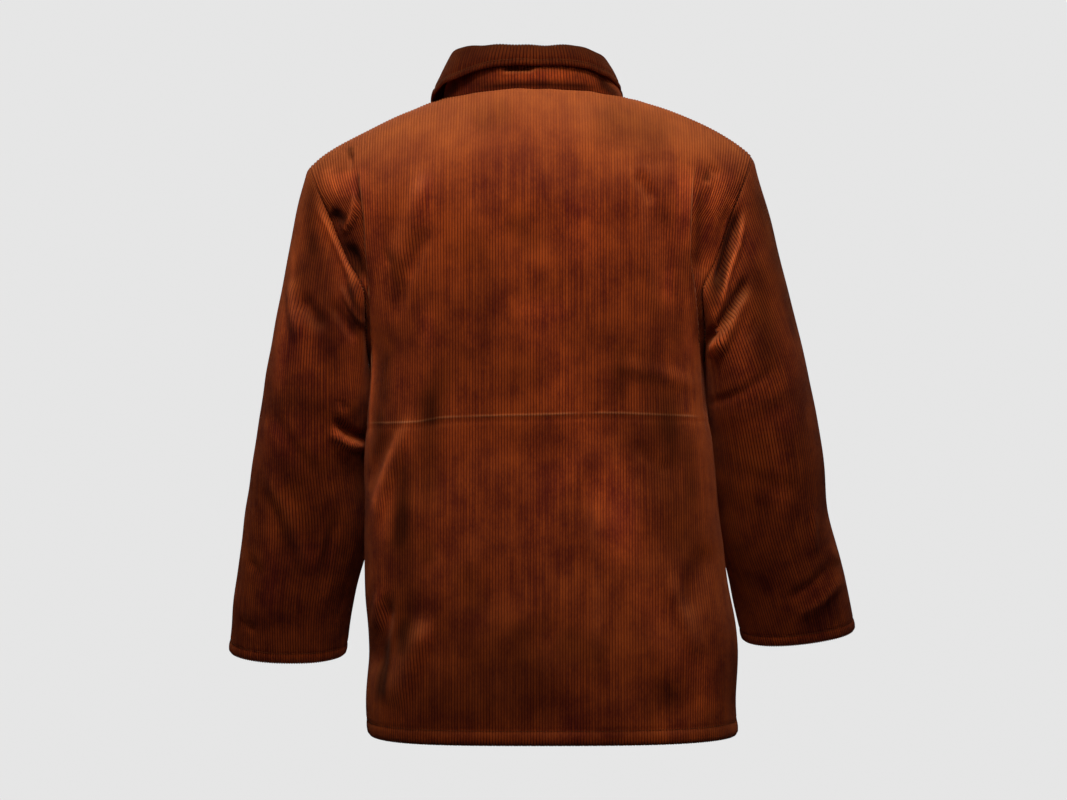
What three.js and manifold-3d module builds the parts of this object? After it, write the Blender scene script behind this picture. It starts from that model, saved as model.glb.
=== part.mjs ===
// A padded corduroy jacket, filled out as it is worn, with nobody in it.
// Millimetres, +Z up. The front faces -Y and the wearer's left is +X.
// The origin lies between the two side neck points, where the wearer's shoulders carry it.
import * as THREE from "three";
import Module from "manifold-3d";
import { mergeVertices } from "three/addons/utils/BufferGeometryUtils.js";

// ---- driving dimensions -------------------------------------------------------------
const HEM_Z = -716; // the hem hangs level
const UNDERARM_Z = -298; // where the side seam meets the armhole
const WALL = 4; // corduroy, wadding and backing together
const COLLAR_WALL = 3.2;
const SEAM_GAP = 0.3; // between two pieces that are sewn together
const NECK_X = 104; // the side neck point, from the middle
const BACK_NECK_DEPTH = 75;
const FRONT_NECK_DEPTH = 60;
const BLADE_Z = -140; // above this level the back turns forward over the shoulder
const CHEST_Z = -190; // above this level the fronts turn back over the shoulder
const FRONT_SQUARE = 2.3; // exponent of the front half
const SHOULDER_CROWD = 1.2; // how much the cloth crowds towards the shoulder tip
const TIP_REACH = { left: 257, right: 250 }; // shoulder tips, from the middle
const OVERLAP = 22; // each front passes the centre line by this much
const LAP_FADE = 60; // the under front regains its own form this far from the middle
const BUTTON = {
  count: 5,
  topZ: -112,
  pitch: 121,
  radius: 11,
  thick: 3.4,
  hole: 1.1, // each hole's radius
  holeApart: 2.4, // from the button's middle, each way
};
// Half the section of a button, as shares of its radius and its thickness.
const BUTTON_PROFILE = [
  [0, 0],
  [0.8, 0],
  [1, 0.4],
  [1, 0.75],
  [0.9, 1],
  [0.68, 0.7],
  [0, 0.6],
];

// Horizontal sections of the body, from the hem up. left and right are the half widths,
// back and front the depths at the middle, and square the exponent of the back half.
const BODY = [
  { z: -716, left: 187, right: 231, back: 157, front: 140, square: 3.2 },
  { z: -675, left: 189, right: 228, back: 155, front: 139, square: 3.2 },
  { z: -620, left: 185, right: 231, back: 150, front: 137, square: 3.3 },
  { z: -560, left: 190, right: 222, back: 143, front: 134, square: 3.4 },
  { z: -480, left: 191, right: 211, back: 135, front: 130, square: 3.4 },
  { z: -400, left: 191, right: 203, back: 130, front: 128, square: 3.2 },
  { z: -340, left: 188, right: 197, back: 132, front: 128, square: 2.8 },
  { z: -298, left: 188, right: 194, back: 136, front: 129, square: 2.6 },
  { z: -260, left: 194, right: 198, back: 139, front: 128, square: 2.6 },
  { z: -200, left: 215, right: 212, back: 142, front: 123, square: 2.6 },
  { z: -140, left: 236, right: 229, back: 141, front: 114, square: 2.6 },
];

// How far the armhole seam lies behind and before the middle, from the underarm up.
const ARMHOLE = [
  { z: -298, behind: 0, before: 0 },
  { z: -285, behind: 28, before: 32 },
  { z: -265, behind: 48, before: 50 },
  { z: -250, behind: 62, before: 57 },
  { z: -235, behind: 73, before: 62 },
  { z: -220, behind: 80, before: 66 },
  { z: -205, behind: 76, before: 68 },
  { z: -190, behind: 68, before: 70 },
  { z: -165, behind: 62, before: 69 },
  { z: -140, behind: 58, before: 66 },
];

// The ridge over the shoulders, as heights at distances from the middle. Inside the neck
// it only shapes the cloth that leads up to the neck seam.
const SHOULDER = [
  { x: 104, left: 0, right: 2 },
  { x: 155, left: -20, right: -13 },
  { x: 190, left: -36, right: -27 },
  { x: 220, left: -52, right: -43 },
  { x: 242, left: -66, right: -59 },
  { x: 257, left: -79, right: -75 },
];
const RIDGE = {
  back: [
    { x: 0, left: 25, right: 25 },
    { x: 60, left: 16, right: 16 },
    { x: 80, left: 9, right: 10 },
    ...SHOULDER,
  ],
  front: [
    { x: 0, left: -51, right: -51 },
    { x: 40, left: -46, right: -46 },
    { x: 80, left: -22, right: -21 },
    ...SHOULDER,
  ],
};

// The drape fold that stands beside each armhole: the back bulges along the line at
// left or right of the middle, and falls in beyond it. reach says how much at a height.
const DRAPE = [
  { z: -330, left: 184, right: 190, reach: 0 },
  { z: -290, left: 183, right: 187, reach: 0.35 },
  { z: -240, left: 184, right: 184, reach: 1 },
  { z: -160, left: 185, right: 177, reach: 1 },
  { z: -120, left: 188, right: 176, reach: 0.7 },
  { z: -80, left: 194, right: 178, reach: 0 },
];
const DRAPE_OUT = 7;
const DRAPE_OUT_WIDE = 40;
const DRAPE_LEAD = 12; // the bulge is highest this far before the crest
const DRAPE_IN = 20;
const DRAPE_IN_WIDE = 34;
const SEAM_FADE = 0.13; // folds die out over this share of the width at a seam

// Long soft folds of the back: from one point to another as seen from behind, how wide
// they are and how far they stand out or sink in.
const BACK_FOLDS = [
  { fromX: 120, fromZ: -90, toX: 158, toZ: -215, wide: 34, out: 5 },
  { fromX: 100, fromZ: -160, toX: 135, toZ: -230, wide: 30, out: -4 },
  { fromX: 150, fromZ: -375, toX: 178, toZ: -480, wide: 34, out: 5 },
  { fromX: 118, fromZ: -590, toX: 152, toZ: -690, wide: 46, out: 8 },
  { fromX: 160, fromZ: -560, toX: 172, toZ: -665, wide: 30, out: -9 },
  { fromX: -165, fromZ: -510, toX: -195, toZ: -580, wide: 40, out: -8 },
];

// Sleeve sections below the underarm: middle, half width and half depth, and how much
// higher the outer edge lies than the middle.
const SLEEVE = {
  left: [
    { x: 249, y: -16, z: -335, wide: 59, deep: 80, rise: 14 },
    { x: 258, y: -42, z: -404, wide: 64, deep: 74, rise: 5 },
    { x: 266, y: -72, z: -484, wide: 71, deep: 67, rise: 3 },
    { x: 282, y: -103, z: -574, wide: 70, deep: 60, rise: 2 },
    { x: 292, y: -126, z: -640, wide: 69, deep: 53, rise: 2 },
  ],
  right: [
    { x: 256, y: -16, z: -330, wide: 58, deep: 80, rise: 18 },
    { x: 268, y: -42, z: -400, wide: 65, deep: 74, rise: 10 },
    { x: 278, y: -72, z: -480, wide: 66, deep: 67, rise: 7 },
    { x: 298, y: -100, z: -552, wide: 67, deep: 60, rise: 7 },
    { x: 314, y: -124, z: -618, wide: 67, deep: 53, rise: 7 },
  ],
};
const SLEEVE_TILT = 0.2; // the back of a section lies lower by this share of its depth
const SLEEVE_SQUARE = 2.15;

// How the sleeve leaves the armhole: its direction at the top and under the arm, and how
// far that direction holds, as a share of the way to the first section.
const CAP_TOP = { out: 0.28, down: 0.96, hold: 0.8 };
const CAP_UNDER = { out: 1, down: 0.9, hold: 0.3 };
const CAP_SIDE = 0.12;

// Soft folds across the sleeves at the elbow: height, depth of the hollow, spread.
const ELBOW_FOLDS = [
  { z: -370, out: -4, wide: 16 },
  { z: -392, out: 4, wide: 18 },
  { z: -560, out: 3, wide: 26 },
];

// The collar, from the middle of the back (turn 0) to the centre front (turn 1).
// fold is the top edge of the stand, edge the free edge of the leaf, and over is how far
// that edge keeps above the shoulder.
const COLLAR = [
  { turn: 0, foldX: 0, foldY: 70, foldZ: 46, edgeX: 0, edgeY: 90, over: 40 },
  { turn: 0.16, foldX: 45, foldY: 64, foldZ: 47, edgeX: 55, edgeY: 82, over: 36 },
  { turn: 0.32, foldX: 79, foldY: 45, foldZ: 47, edgeX: 96, edgeY: 54, over: 20 },
  { turn: 0.5, foldX: 92, foldY: 8, foldZ: 38, edgeX: 120, edgeY: 4, over: 8 },
  { turn: 0.66, foldX: 84, foldY: -24, foldZ: 14, edgeX: 119, edgeY: -46, over: 6 },
  { turn: 0.82, foldX: 54, foldY: -46, foldZ: -14, edgeX: 92, edgeY: -84, over: 6 },
  { turn: 1, foldX: 7, foldY: -57, foldZ: -30, edgeX: 56, edgeY: -103, over: 7 },
];
const COLLAR_WIDE = { left: 1, right: 0.9 }; // the collar sits a little to the left
const ROLL_RADIUS = 5; // of the middle of the cloth where the leaf turns over
const ROLL_DROP = 14; // the leaf's outside is the side away from a point this far down
const LEAF_ROWS = [0.35, 0.7, 1]; // from the roll to the free edge
const STAND_STOP = 0.14; // the stand ends this share of a step short of the front edge

// ---- how finely the cloth is divided ------------------------------------------------
const SIDE_ROWS = [-716, -675, -630, -580, -520, -460, -400, -345];
const BACK_ROWS = [-298, -285, -265, -240, -210, -175];
const FRONT_ROWS = [-298, -285, -262, -232];
const BACK_CLIMBS = [0, 0.2, 0.4, 0.6, 0.8, 1];
const FRONT_CLIMBS = [0, 0.15, 0.32, 0.49, 0.66, 0.83, 1];
const NECK_STEPS = 5;
const SHOULDER_SHARES = [0.45, 0.55, 0.65, 0.73, 0.8, 0.86, 0.925, 1];
const CAP_STEPS = [0, 0.06, 0.16, 0.32, 0.52, 0.75];
const NEAR_NECK = 0.03; // columns nearer than this to the side neck point are left out
const SLEEVE_STEPS = [0, 0.5, 0.75, 1, 1.5, 2, 2.5, 3, 3.5, 4];
const ROLL_ANGLES = [0, 50, 100, 150];

const CORDUROY = { color: 0x6b2a12, roughness: 0.9, metalness: 0 };
const HORN = { color: 0x2a1710, roughness: 0.45, metalness: 0 };

// ---- small maths ----------------------------------------------------------------------
const V = (x, y, z) => new THREE.Vector3(x, y, z);
const UP = V(0, 0, 1);
const mix = (a, b, t) => a + (b - a) * t;
const clamp01 = (t) => Math.min(1, Math.max(0, t));
const smooth = (t) => clamp01(t) ** 2 * (3 - 2 * clamp01(t));
const bump = (t) => (Math.abs(t) < 1 ? (1 + Math.cos(Math.PI * t)) / 2 : 0);
const signOf = (side) => (side === "left" ? 1 : -1);
const moved = (p, direction, distance) => p.clone().addScaledVector(direction, distance);

// Reads a named column of a table at a place along its key, by a smooth cubic.
function read(rows, key, column, at) {
  const last = rows.length - 1;
  if (at <= rows[0][key]) return rows[0][column];
  if (at >= rows[last][key]) return rows[last][column];
  let i = 0;
  while (at > rows[i + 1][key]) i++;
  const slope = (j) => {
    const a = rows[Math.max(0, j - 1)];
    const b = rows[Math.min(last, j + 1)];
    return (b[column] - a[column]) / (b[key] - a[key]);
  };
  const span = rows[i + 1][key] - rows[i][key];
  const t = (at - rows[i][key]) / span;
  const bend = slope(i) * t * (1 - t) ** 2 - slope(i + 1) * t * t * (1 - t);
  return mix(rows[i][column], rows[i + 1][column], smooth(t)) + span * bend;
}

// The point at a share of a polyline's length.
function along(line, share) {
  const lengths = [0];
  for (let i = 1; i < line.length; i++) {
    lengths.push(lengths[i - 1] + line[i].distanceTo(line[i - 1]));
  }
  const target = clamp01(share) * lengths[line.length - 1];
  let i = 0;
  while (i < line.length - 2 && lengths[i + 1] < target) i++;
  const t = (target - lengths[i]) / (lengths[i + 1] - lengths[i]);
  return line[i].clone().lerp(line[i + 1], clamp01(t));
}

// How near a point of the back lies to the line of a fold: 1 on it, 0 outside it.
function nearness(fold, x, z) {
  const dx = fold.toX - fold.fromX;
  const dz = fold.toZ - fold.fromZ;
  const t = ((x - fold.fromX) * dx + (z - fold.fromZ) * dz) / (dx * dx + dz * dz);
  const off = Math.hypot(x - fold.fromX - t * dx, z - fold.fromZ - t * dz);
  return bump(off / fold.wide) * bump(1.25 * Math.max(0, Math.abs(t - 0.5) - 0.25));
}

// ---- the body's form ------------------------------------------------------------------
// One half of the back, or one front: which way it faces and whose side it is on.
function halfBody(face, side) {
  const back = face === "back";
  return {
    face,
    side,
    out: back ? 1 : -1,
    turnZ: back ? BLADE_Z : CHEST_Z,
    neckDepth: back ? BACK_NECK_DEPTH : FRONT_NECK_DEPTH,
    seamColumn: back ? "behind" : "before",
    rows: back ? BACK_ROWS : FRONT_ROWS,
    climbs: back ? BACK_CLIMBS : FRONT_CLIMBS,
  };
}

// Half a section at one height, from the middle to the side seam or the armhole seam.
function sectionLine(half, z, steps = 60) {
  const width = read(BODY, "z", half.side, z);
  const depth = read(BODY, "z", half.face, z);
  const seam = z > UNDERARM_Z ? read(ARMHOLE, "z", half.seamColumn, z) : 0;
  const square = half.face === "back" ? read(BODY, "z", "square", z) : FRONT_SQUARE;
  const end = Math.acos(Math.pow(seam / depth, square / 2));
  const line = [];
  for (let i = 0; i <= steps; i++) {
    const angle = (end * i) / steps;
    const x = width * Math.pow(Math.sin(angle), 2 / square);
    const y = depth * Math.pow(Math.max(0, Math.cos(angle)), 2 / square);
    line.push(V(x, y, z));
  }
  return line;
}

// What the drape folds and the long folds add to the depth of the back.
function backRelief(half, x, z, share) {
  const crest = read(DRAPE, "z", half.side, z);
  const reach = read(DRAPE, "z", "reach", z);
  const bulge = bump((x - crest + DRAPE_LEAD) / DRAPE_OUT_WIDE);
  const hollow = smooth((x - crest) / DRAPE_IN_WIDE);
  let relief = reach * (DRAPE_OUT * bulge - DRAPE_IN * hollow);
  for (const fold of BACK_FOLDS) {
    relief += fold.out * nearness(fold, signOf(half.side) * x, z);
  }
  return relief * smooth((1 - share) / SEAM_FADE);
}

// A point at a share of a panel's width. A share below 0 lies past the centre line.
function bodyPoint(half, share, z) {
  const p = along(sectionLine(half, z), Math.abs(share));
  if (half.face === "back") p.y += backRelief(half, p.x, z, share);
  return V(signOf(half.side) * Math.sign(share || 1) * p.x, half.out * p.y, z);
}

// Above its turn a panel bends over the shoulder: climb 0 is the turn, 1 the ridge.
const reachOf = (side, share) => TIP_REACH[side] * (1 - (1 - share) ** SHOULDER_CROWD);
const shareOf = (side, reach) => 1 - (1 - reach / TIP_REACH[side]) ** (1 / SHOULDER_CROWD);

function shoulderPoint(half, share, climb) {
  const start = bodyPoint(half, share, half.turnZ);
  const reach = reachOf(half.side, Math.abs(share));
  const angle = (climb * Math.PI) / 2;
  const ridge = read(RIDGE[half.face], "x", half.side, reach);
  const x = signOf(half.side) * Math.sign(share || 1) * reach;
  return V(
    mix(start.x, x, Math.sin(angle)),
    start.y * Math.cos(angle),
    mix(half.turnZ, ridge, Math.sin(angle)),
  );
}

// How far up the climb a column of cloth goes: to the neck seam or the shoulder seam.
function topClimb(half, share) {
  const reach = reachOf(half.side, Math.abs(share));
  if (reach >= NECK_X - 0.01) return 1;
  const start = bodyPoint(half, share, half.turnZ);
  const neckY = half.neckDepth * Math.sqrt(1 - (reach / NECK_X) ** 2);
  return Math.acos(clamp01(neckY / Math.abs(start.y))) / (Math.PI / 2);
}

// The height of the cloth over a place near the neck.
function clothHeight(x, y) {
  const half = halfBody(y > 0 ? "back" : "front", x < 0 ? "right" : "left");
  let low = 0;
  let high = 1;
  let point = null;
  for (let i = 0; i < 24; i++) {
    const share = (low + high) / 2;
    const start = bodyPoint(half, share, half.turnZ);
    const climb = Math.acos(clamp01(Math.abs(y / start.y))) / (Math.PI / 2);
    point = shoulderPoint(half, share, climb);
    if (Math.abs(point.x) < Math.abs(x)) low = share;
    else high = share;
  }
  return point.z;
}

// ---- walls ----------------------------------------------------------------------------
// The direction straight through the cloth at each point of a grid. facing gives the
// side that the outside is on.
function throughDirections(grid, facing, closed = false) {
  const last = grid.length - 1;
  const columns = grid[0].length;
  const column = (j) => {
    if (closed) return (j + columns) % columns;
    return Math.min(columns - 1, Math.max(0, j));
  };
  return grid.map((row, i) =>
    row.map((p, j) => {
      const up = grid[Math.min(last, i + 1)][j].clone().sub(grid[Math.max(0, i - 1)][j]);
      const across = row[column(j + 1)].clone().sub(row[column(j - 1)]);
      const through = up.cross(across).normalize();
      return through.dot(facing(p, i, j)) > 0 ? through.negate() : through;
    }),
  );
}

// A closed wall between two grids of points, outer[row][column] and inner[row][column].
// Along the first row a quad is split by its other diagonal where turned says so, to
// match the piece it is sewn to.
function wallGeometry(outer, inner, { closed = false, turned = () => false } = {}) {
  const rows = outer.length;
  const columns = outer[0].length;
  const positions = [];
  for (const grid of [outer, inner]) {
    for (const row of grid) for (const p of row) positions.push(p.x, p.y, p.z);
  }
  const at = (layer, i, j) => (layer * rows + i) * columns + (j % columns);
  const index = [];
  const quad = (a, b, c, d) => index.push(a, b, c, a, c, d);
  const lastColumn = closed ? columns : columns - 1;
  const top = rows - 1;
  for (let j = 0; j < lastColumn; j++) {
    for (let i = 0; i < top; i++) {
      quad(at(0, i, j), at(0, i, j + 1), at(0, i + 1, j + 1), at(0, i + 1, j));
      quad(at(1, i, j), at(1, i + 1, j), at(1, i + 1, j + 1), at(1, i, j + 1));
    }
    if (turned(j)) quad(at(1, 0, j), at(1, 0, j + 1), at(0, 0, j + 1), at(0, 0, j));
    else quad(at(0, 0, j), at(1, 0, j), at(1, 0, j + 1), at(0, 0, j + 1));
    quad(at(0, top, j), at(0, top, j + 1), at(1, top, j + 1), at(1, top, j));
  }
  if (!closed) {
    const end = columns - 1;
    for (let i = 0; i < top; i++) {
      quad(at(0, i, 0), at(0, i + 1, 0), at(1, i + 1, 0), at(1, i, 0));
      quad(at(0, i, end), at(1, i, end), at(1, i + 1, end), at(0, i + 1, end));
    }
  }
  if (signedVolume(positions, index) < 0) index.reverse();
  const geometry = new THREE.BufferGeometry();
  geometry.setAttribute("position", new THREE.Float32BufferAttribute(positions, 3));
  geometry.setIndex(index);
  geometry.computeVertexNormals();
  return geometry;
}

function signedVolume(positions, index) {
  const corner = (i) => V(...positions.slice(3 * index[i], 3 * index[i] + 3));
  let volume = 0;
  for (let i = 0; i < index.length; i += 3) {
    volume += corner(i).dot(corner(i + 1).cross(corner(i + 2))) / 6;
  }
  return volume;
}

// ---- the panels -----------------------------------------------------------------------
// Columns of a half panel, as shares from the middle to the seam.
function columnShares(side) {
  const shares = [];
  for (let i = 0; i <= NECK_STEPS; i++) {
    shares.push(shareOf(side, NECK_X * Math.sin((i / NECK_STEPS) * (Math.PI / 2))));
  }
  const neck = shares[NECK_STEPS];
  return [...shares, ...SHOULDER_SHARES.filter((share) => share > neck + NEAR_NECK)];
}

// The outer face of a half panel, from the hem to the neck and shoulder seams.
function halfGrid(half, shares) {
  const level = [...SIDE_ROWS, ...half.rows];
  const grid = level.map((z) => shares.map((share) => bodyPoint(half, share, z)));
  for (const climb of half.climbs) {
    grid.push(shares.map((share) => shoulderPoint(half, share, climb * topClimb(half, share))));
  }
  return grid;
}

// A seam frame says where two pieces meet: the point, the way through the cloth and the
// way on from the body's panel to the piece sewn to it.
function meet(point, lineTangent, bodyThrough, leave, inwardHint) {
  const sewn = lineTangent.clone().cross(leave).normalize();
  if (sewn.dot(inwardHint) < 0) sewn.negate();
  const through = bodyThrough.clone().add(sewn).normalize();
  const stretch = 1 / Math.max(0.75, through.dot(sewn));
  const on = lineTangent.clone().cross(through).normalize();
  if (on.dot(leave) < 0) on.negate();
  return { point, through: through.multiplyScalar(stretch), on, leave };
}

// Weighs a rough way out of the body: its depth against its width, and the rise on top.
const FACING = { deep: 1.6, up: 160 };

// Half of the body's panels, before their edges are set back from the seams.
function buildHalf(face, side, past = []) {
  const half = halfBody(face, side);
  const sideShares = columnShares(side);
  const shares = [...past, ...sideShares];
  const outer = halfGrid(half, shares);
  const through = throughDirections(outer, (p, i) => {
    const climbing = i >= SIDE_ROWS.length + half.rows.length;
    return V(p.x, FACING.deep * p.y, climbing ? FACING.up : 0);
  });
  return { half, shares, outer, through, neck: past.length + NECK_STEPS };
}

// The frames of one armhole, from the shoulder tip down the back, round and up the front.
function armholeFrames(back, front) {
  const side = back.half.side;
  const edge = (panel) => {
    const first = SIDE_ROWS.length;
    const last = panel.shares.length - 1;
    const rows = panel.outer.slice(first);
    return rows.map((row, i) => ({ point: row[last], body: panel.through[first + i][last] }));
  };
  const loop = [...edge(back).reverse(), ...edge(front).slice(1, -1)];
  const lowest = edge(back).length - 1;
  const lengths = [0];
  for (let i = 1; i <= loop.length; i++) {
    const step = loop[i % loop.length].point.distanceTo(loop[i - 1].point);
    lengths.push(lengths[i - 1] + step);
  }
  const total = lengths[loop.length];
  const low = lengths[lowest];
  return loop.map(({ point, body }, i) => {
    const s = lengths[i];
    const phi = i <= lowest ? (Math.PI * s) / low : Math.PI * (1 + (s - low) / (total - low));
    const under = (1 - Math.cos(phi)) / 2;
    const leave = V(
      signOf(side) * mix(CAP_TOP.out, CAP_UNDER.out, under),
      CAP_SIDE * Math.sin(phi),
      -mix(CAP_TOP.down, CAP_UNDER.down, under),
    ).normalize();
    const next = loop[(i + 1) % loop.length].point;
    const before = loop[(i + loop.length - 1) % loop.length].point;
    const tangent = next.clone().sub(before).normalize();
    const middle = V(point.x, 0, CHEST_Z).sub(point);
    const bodyThrough = i === 0 ? ridgeThrough(back) : body;
    if (i === lowest) bodyThrough.set(-signOf(side), 0, 0);
    const frame = meet(point, tangent, bodyThrough, leave, middle);
    return { ...frame, phi, under };
  });
}

// The way through the cloth at the outer end of the shoulder seam.
function ridgeThrough(panel) {
  const top = panel.outer[panel.outer.length - 1];
  const end = top.length - 1;
  const run = top[end].clone().sub(top[end - 1]);
  return V(run.z, 0, -run.x).multiplyScalar(signOf(panel.half.side)).normalize();
}

// The frames of the neck seam over one panel, from its middle to the side neck point.
function neckFrames(panel) {
  const row = panel.outer[panel.outer.length - 1];
  const first = panel.neck - NECK_STEPS;
  const frames = [];
  for (let j = first; j <= panel.neck; j++) {
    const tangent = row[Math.min(panel.neck, j + 1)].clone().sub(row[Math.max(first, j - 1)]);
    if (j === first) tangent.set(1, 0, 0);
    if (j === panel.neck) tangent.set(0, 1, 0);
    const body = panel.through[panel.outer.length - 1][j];
    if (j === panel.neck) body.set(-signOf(panel.half.side) * 0.3, 0, -1).normalize();
    const middle = V(-row[j].x, -row[j].y, 0);
    frames.push(meet(row[j].clone(), tangent.normalize(), body, UP, middle));
  }
  return frames;
}

// Moves a panel's edge point back from a seam, and gives it the seam's way through.
function seat(panel, i, j, frame) {
  panel.outer[i][j] = moved(panel.outer[i][j], frame.on, -SEAM_GAP / 2);
  panel.through[i][j] = frame.through.clone();
}

// Sets all the sewn edges of a half panel.
function seatEdges(panel, armhole, neck) {
  const { half, outer, through } = panel;
  const end = panel.shares.length - 1;
  const top = outer.length - 1;
  const under = SIDE_ROWS.length;
  for (let i = 0; i < under; i++) through[i][end] = V(-signOf(half.side), 0, 0);
  for (let j = panel.neck; j <= end; j++) {
    const run = outer[top][Math.min(end, j + 1)].clone().sub(outer[top][Math.max(panel.neck, j - 1)]);
    through[top][j] = V(run.z, 0, -run.x).multiplyScalar(signOf(half.side)).normalize();
  }
  const count = top - under;
  for (let k = 0; k <= count; k++) {
    const place = half.face === "back" ? count - k : (armhole.length - (count - k)) % armhole.length;
    seat(panel, under + k, end, armhole[place]);
  }
  neck.forEach((frame, j) => seat(panel, top, panel.neck - NECK_STEPS + j, frame));
  for (let i = 0; i <= under; i++) outer[i][end].y += (half.out * SEAM_GAP) / 2;
  for (let j = panel.neck; j <= end; j++) outer[top][j].y += (half.out * SEAM_GAP) / 2;
}

const innerGrid = (outer, through, wall) =>
  outer.map((row, i) => row.map((p, j) => moved(p, through[i][j], wall)));

// Joins the two halves of the back down the middle.
function backGeometry(right, left) {
  const join = (key) =>
    left[key].map((row, i) => [...right[key][i].slice(1).reverse(), ...row]);
  const outer = join("outer");
  return wallGeometry(outer, innerGrid(outer, join("through"), WALL));
}

// Sinks the under front below the front that closes over it.
function sinkUnderFront(panel) {
  const last = panel.outer.length - 1;
  panel.outer.forEach((row, i) => {
    row.forEach((p, j) => {
      const off = signOf(panel.half.side) * p.x;
      const depth = (WALL + 4 * SEAM_GAP) * (1 - smooth((off - OVERLAP - 4) / (LAP_FADE - OVERLAP)));
      p.addScaledVector(panel.through[i][j], i === last && off > NECK_X - 1 ? 0 : depth);
    });
  });
}

// ---- the sleeves ------------------------------------------------------------------------
const roundPower = (t, square) => Math.sign(t) * Math.abs(t) ** (2 / square);

// A point of a sleeve section. phi is 0 at the outer edge, a quarter turn at the back.
function sleeveSection(side, step, phi) {
  const rows = SLEEVE[side].map((row, index) => ({ ...row, index }));
  const at = (column) => read(rows, "index", column, step);
  const outward = roundPower(Math.cos(phi), SLEEVE_SQUARE);
  const behind = roundPower(Math.sin(phi), SLEEVE_SQUARE);
  const z = at("z") + at("rise") * outward - SLEEVE_TILT * at("deep") * behind;
  let swell = 0;
  for (const fold of ELBOW_FOLDS) {
    swell += fold.out * bump((z - 12 * outward - fold.z) / (2 * fold.wide)) * clamp01(0.4 + behind);
  }
  return V(
    signOf(side) * (at("x") + (at("wide") + 0.3 * swell) * outward),
    at("y") + (at("deep") + swell) * behind,
    z,
  );
}

// A point between the armhole seam (t = 0) and the first section (t = 1).
function capPoint(side, frame, t) {
  const start = moved(frame.point, frame.on, SEAM_GAP / 2);
  const end = sleeveSection(side, 0, frame.phi);
  const next = sleeveSection(side, 0.5, frame.phi);
  const chord = end.distanceTo(start);
  const hold = mix(CAP_TOP.hold, CAP_UNDER.hold, frame.under) * chord;
  const arrive = next.sub(end).normalize().multiplyScalar(0.85 * chord);
  const point = start.clone().lerp(end, smooth(t));
  point.addScaledVector(frame.leave, hold * t * (1 - t) ** 2);
  return point.addScaledVector(arrive, -t * t * (1 - t));
}

function sleeveGeometry(side, frames) {
  const outer = CAP_STEPS.map((t) => frames.map((frame) => capPoint(side, frame, t)));
  for (const step of SLEEVE_STEPS) {
    outer.push(frames.map((frame) => sleeveSection(side, step, frame.phi)));
  }
  const centre = (ring) => ring.reduce((sum, p) => sum.add(p), V(0, 0, 0)).divideScalar(ring.length);
  const through = throughDirections(outer, (p, i) => p.clone().sub(centre(outer[i])), true);
  frames.forEach((frame, j) => {
    through[0][j] = frame.through.clone();
  });
  const behind = frames.filter((frame) => frame.phi < Math.PI - 0.001).length;
  const turned = (j) => j < behind;
  return wallGeometry(outer, innerGrid(outer, through, WALL), { closed: true, turned });
}

// ---- the collar -------------------------------------------------------------------------
// Where a station of the collar stands: its seam frame, side and turn from the middle.
function collarStations(halves) {
  const stations = [];
  for (const side of ["right", "left"]) {
    const back = halves[side].backNeck;
    const front = [...halves[side].frontNeck].reverse().slice(1);
    const end = front[front.length - 1];
    const stop = end.point.clone().lerp(front[front.length - 2].point, STAND_STOP);
    front[front.length - 1] = { ...end, point: stop };
    const frames = [...back, ...front];
    const lengths = [0];
    for (let i = 1; i < frames.length; i++) {
      lengths.push(lengths[i - 1] + frames[i].point.distanceTo(frames[i - 1].point));
    }
    const total = lengths[lengths.length - 1];
    const list = frames.map((frame, i) => ({ frame, side, turn: lengths[i] / total }));
    stations.push(...(side === "right" ? list.slice(1).reverse() : list));
  }
  return stations;
}

function collarPoint(station, name) {
  const at = (column) => read(COLLAR, "turn", column, station.turn);
  const x = signOf(station.side) * COLLAR_WIDE[station.side] * at(`${name}X`);
  const y = at(`${name}Y`);
  return V(x, y, name === "fold" ? at("foldZ") : clothHeight(x, y) + at("over"));
}

// The level direction away from the neck at each point of the fold.
function outwardDirections(folds) {
  return folds.map((p, i) => {
    const before = folds[Math.max(0, i - 1)];
    const after = folds[Math.min(folds.length - 1, i + 1)];
    const out = after.clone().sub(before).cross(UP).setZ(0).normalize();
    return out.dot(V(p.x, p.y + 10, 0)) < 0 ? out.negate() : out;
  });
}

function standGeometry(stations) {
  const folds = stations.map((station) => collarPoint(station, "fold"));
  const outs = outwardDirections(folds);
  const foot = stations.map(({ frame }) =>
    moved(moved(frame.point, frame.on, SEAM_GAP / 2), UP, SEAM_GAP / 2),
  );
  const middle = foot.map((p, j) => p.clone().lerp(folds[j], 0.5).addScaledVector(outs[j], 1));
  const outer = [foot, middle, folds];
  const through = outer.map(() => outs.map((out) => out.clone().negate()));
  stations.forEach(({ frame }, j) => {
    through[0][j] = frame.through.clone();
  });
  const leftFront = stations.length - 1 - NECK_STEPS;
  const turned = (j) => j >= leftFront;
  return wallGeometry(outer, innerGrid(outer, through, COLLAR_WALL), { turned });
}

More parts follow.
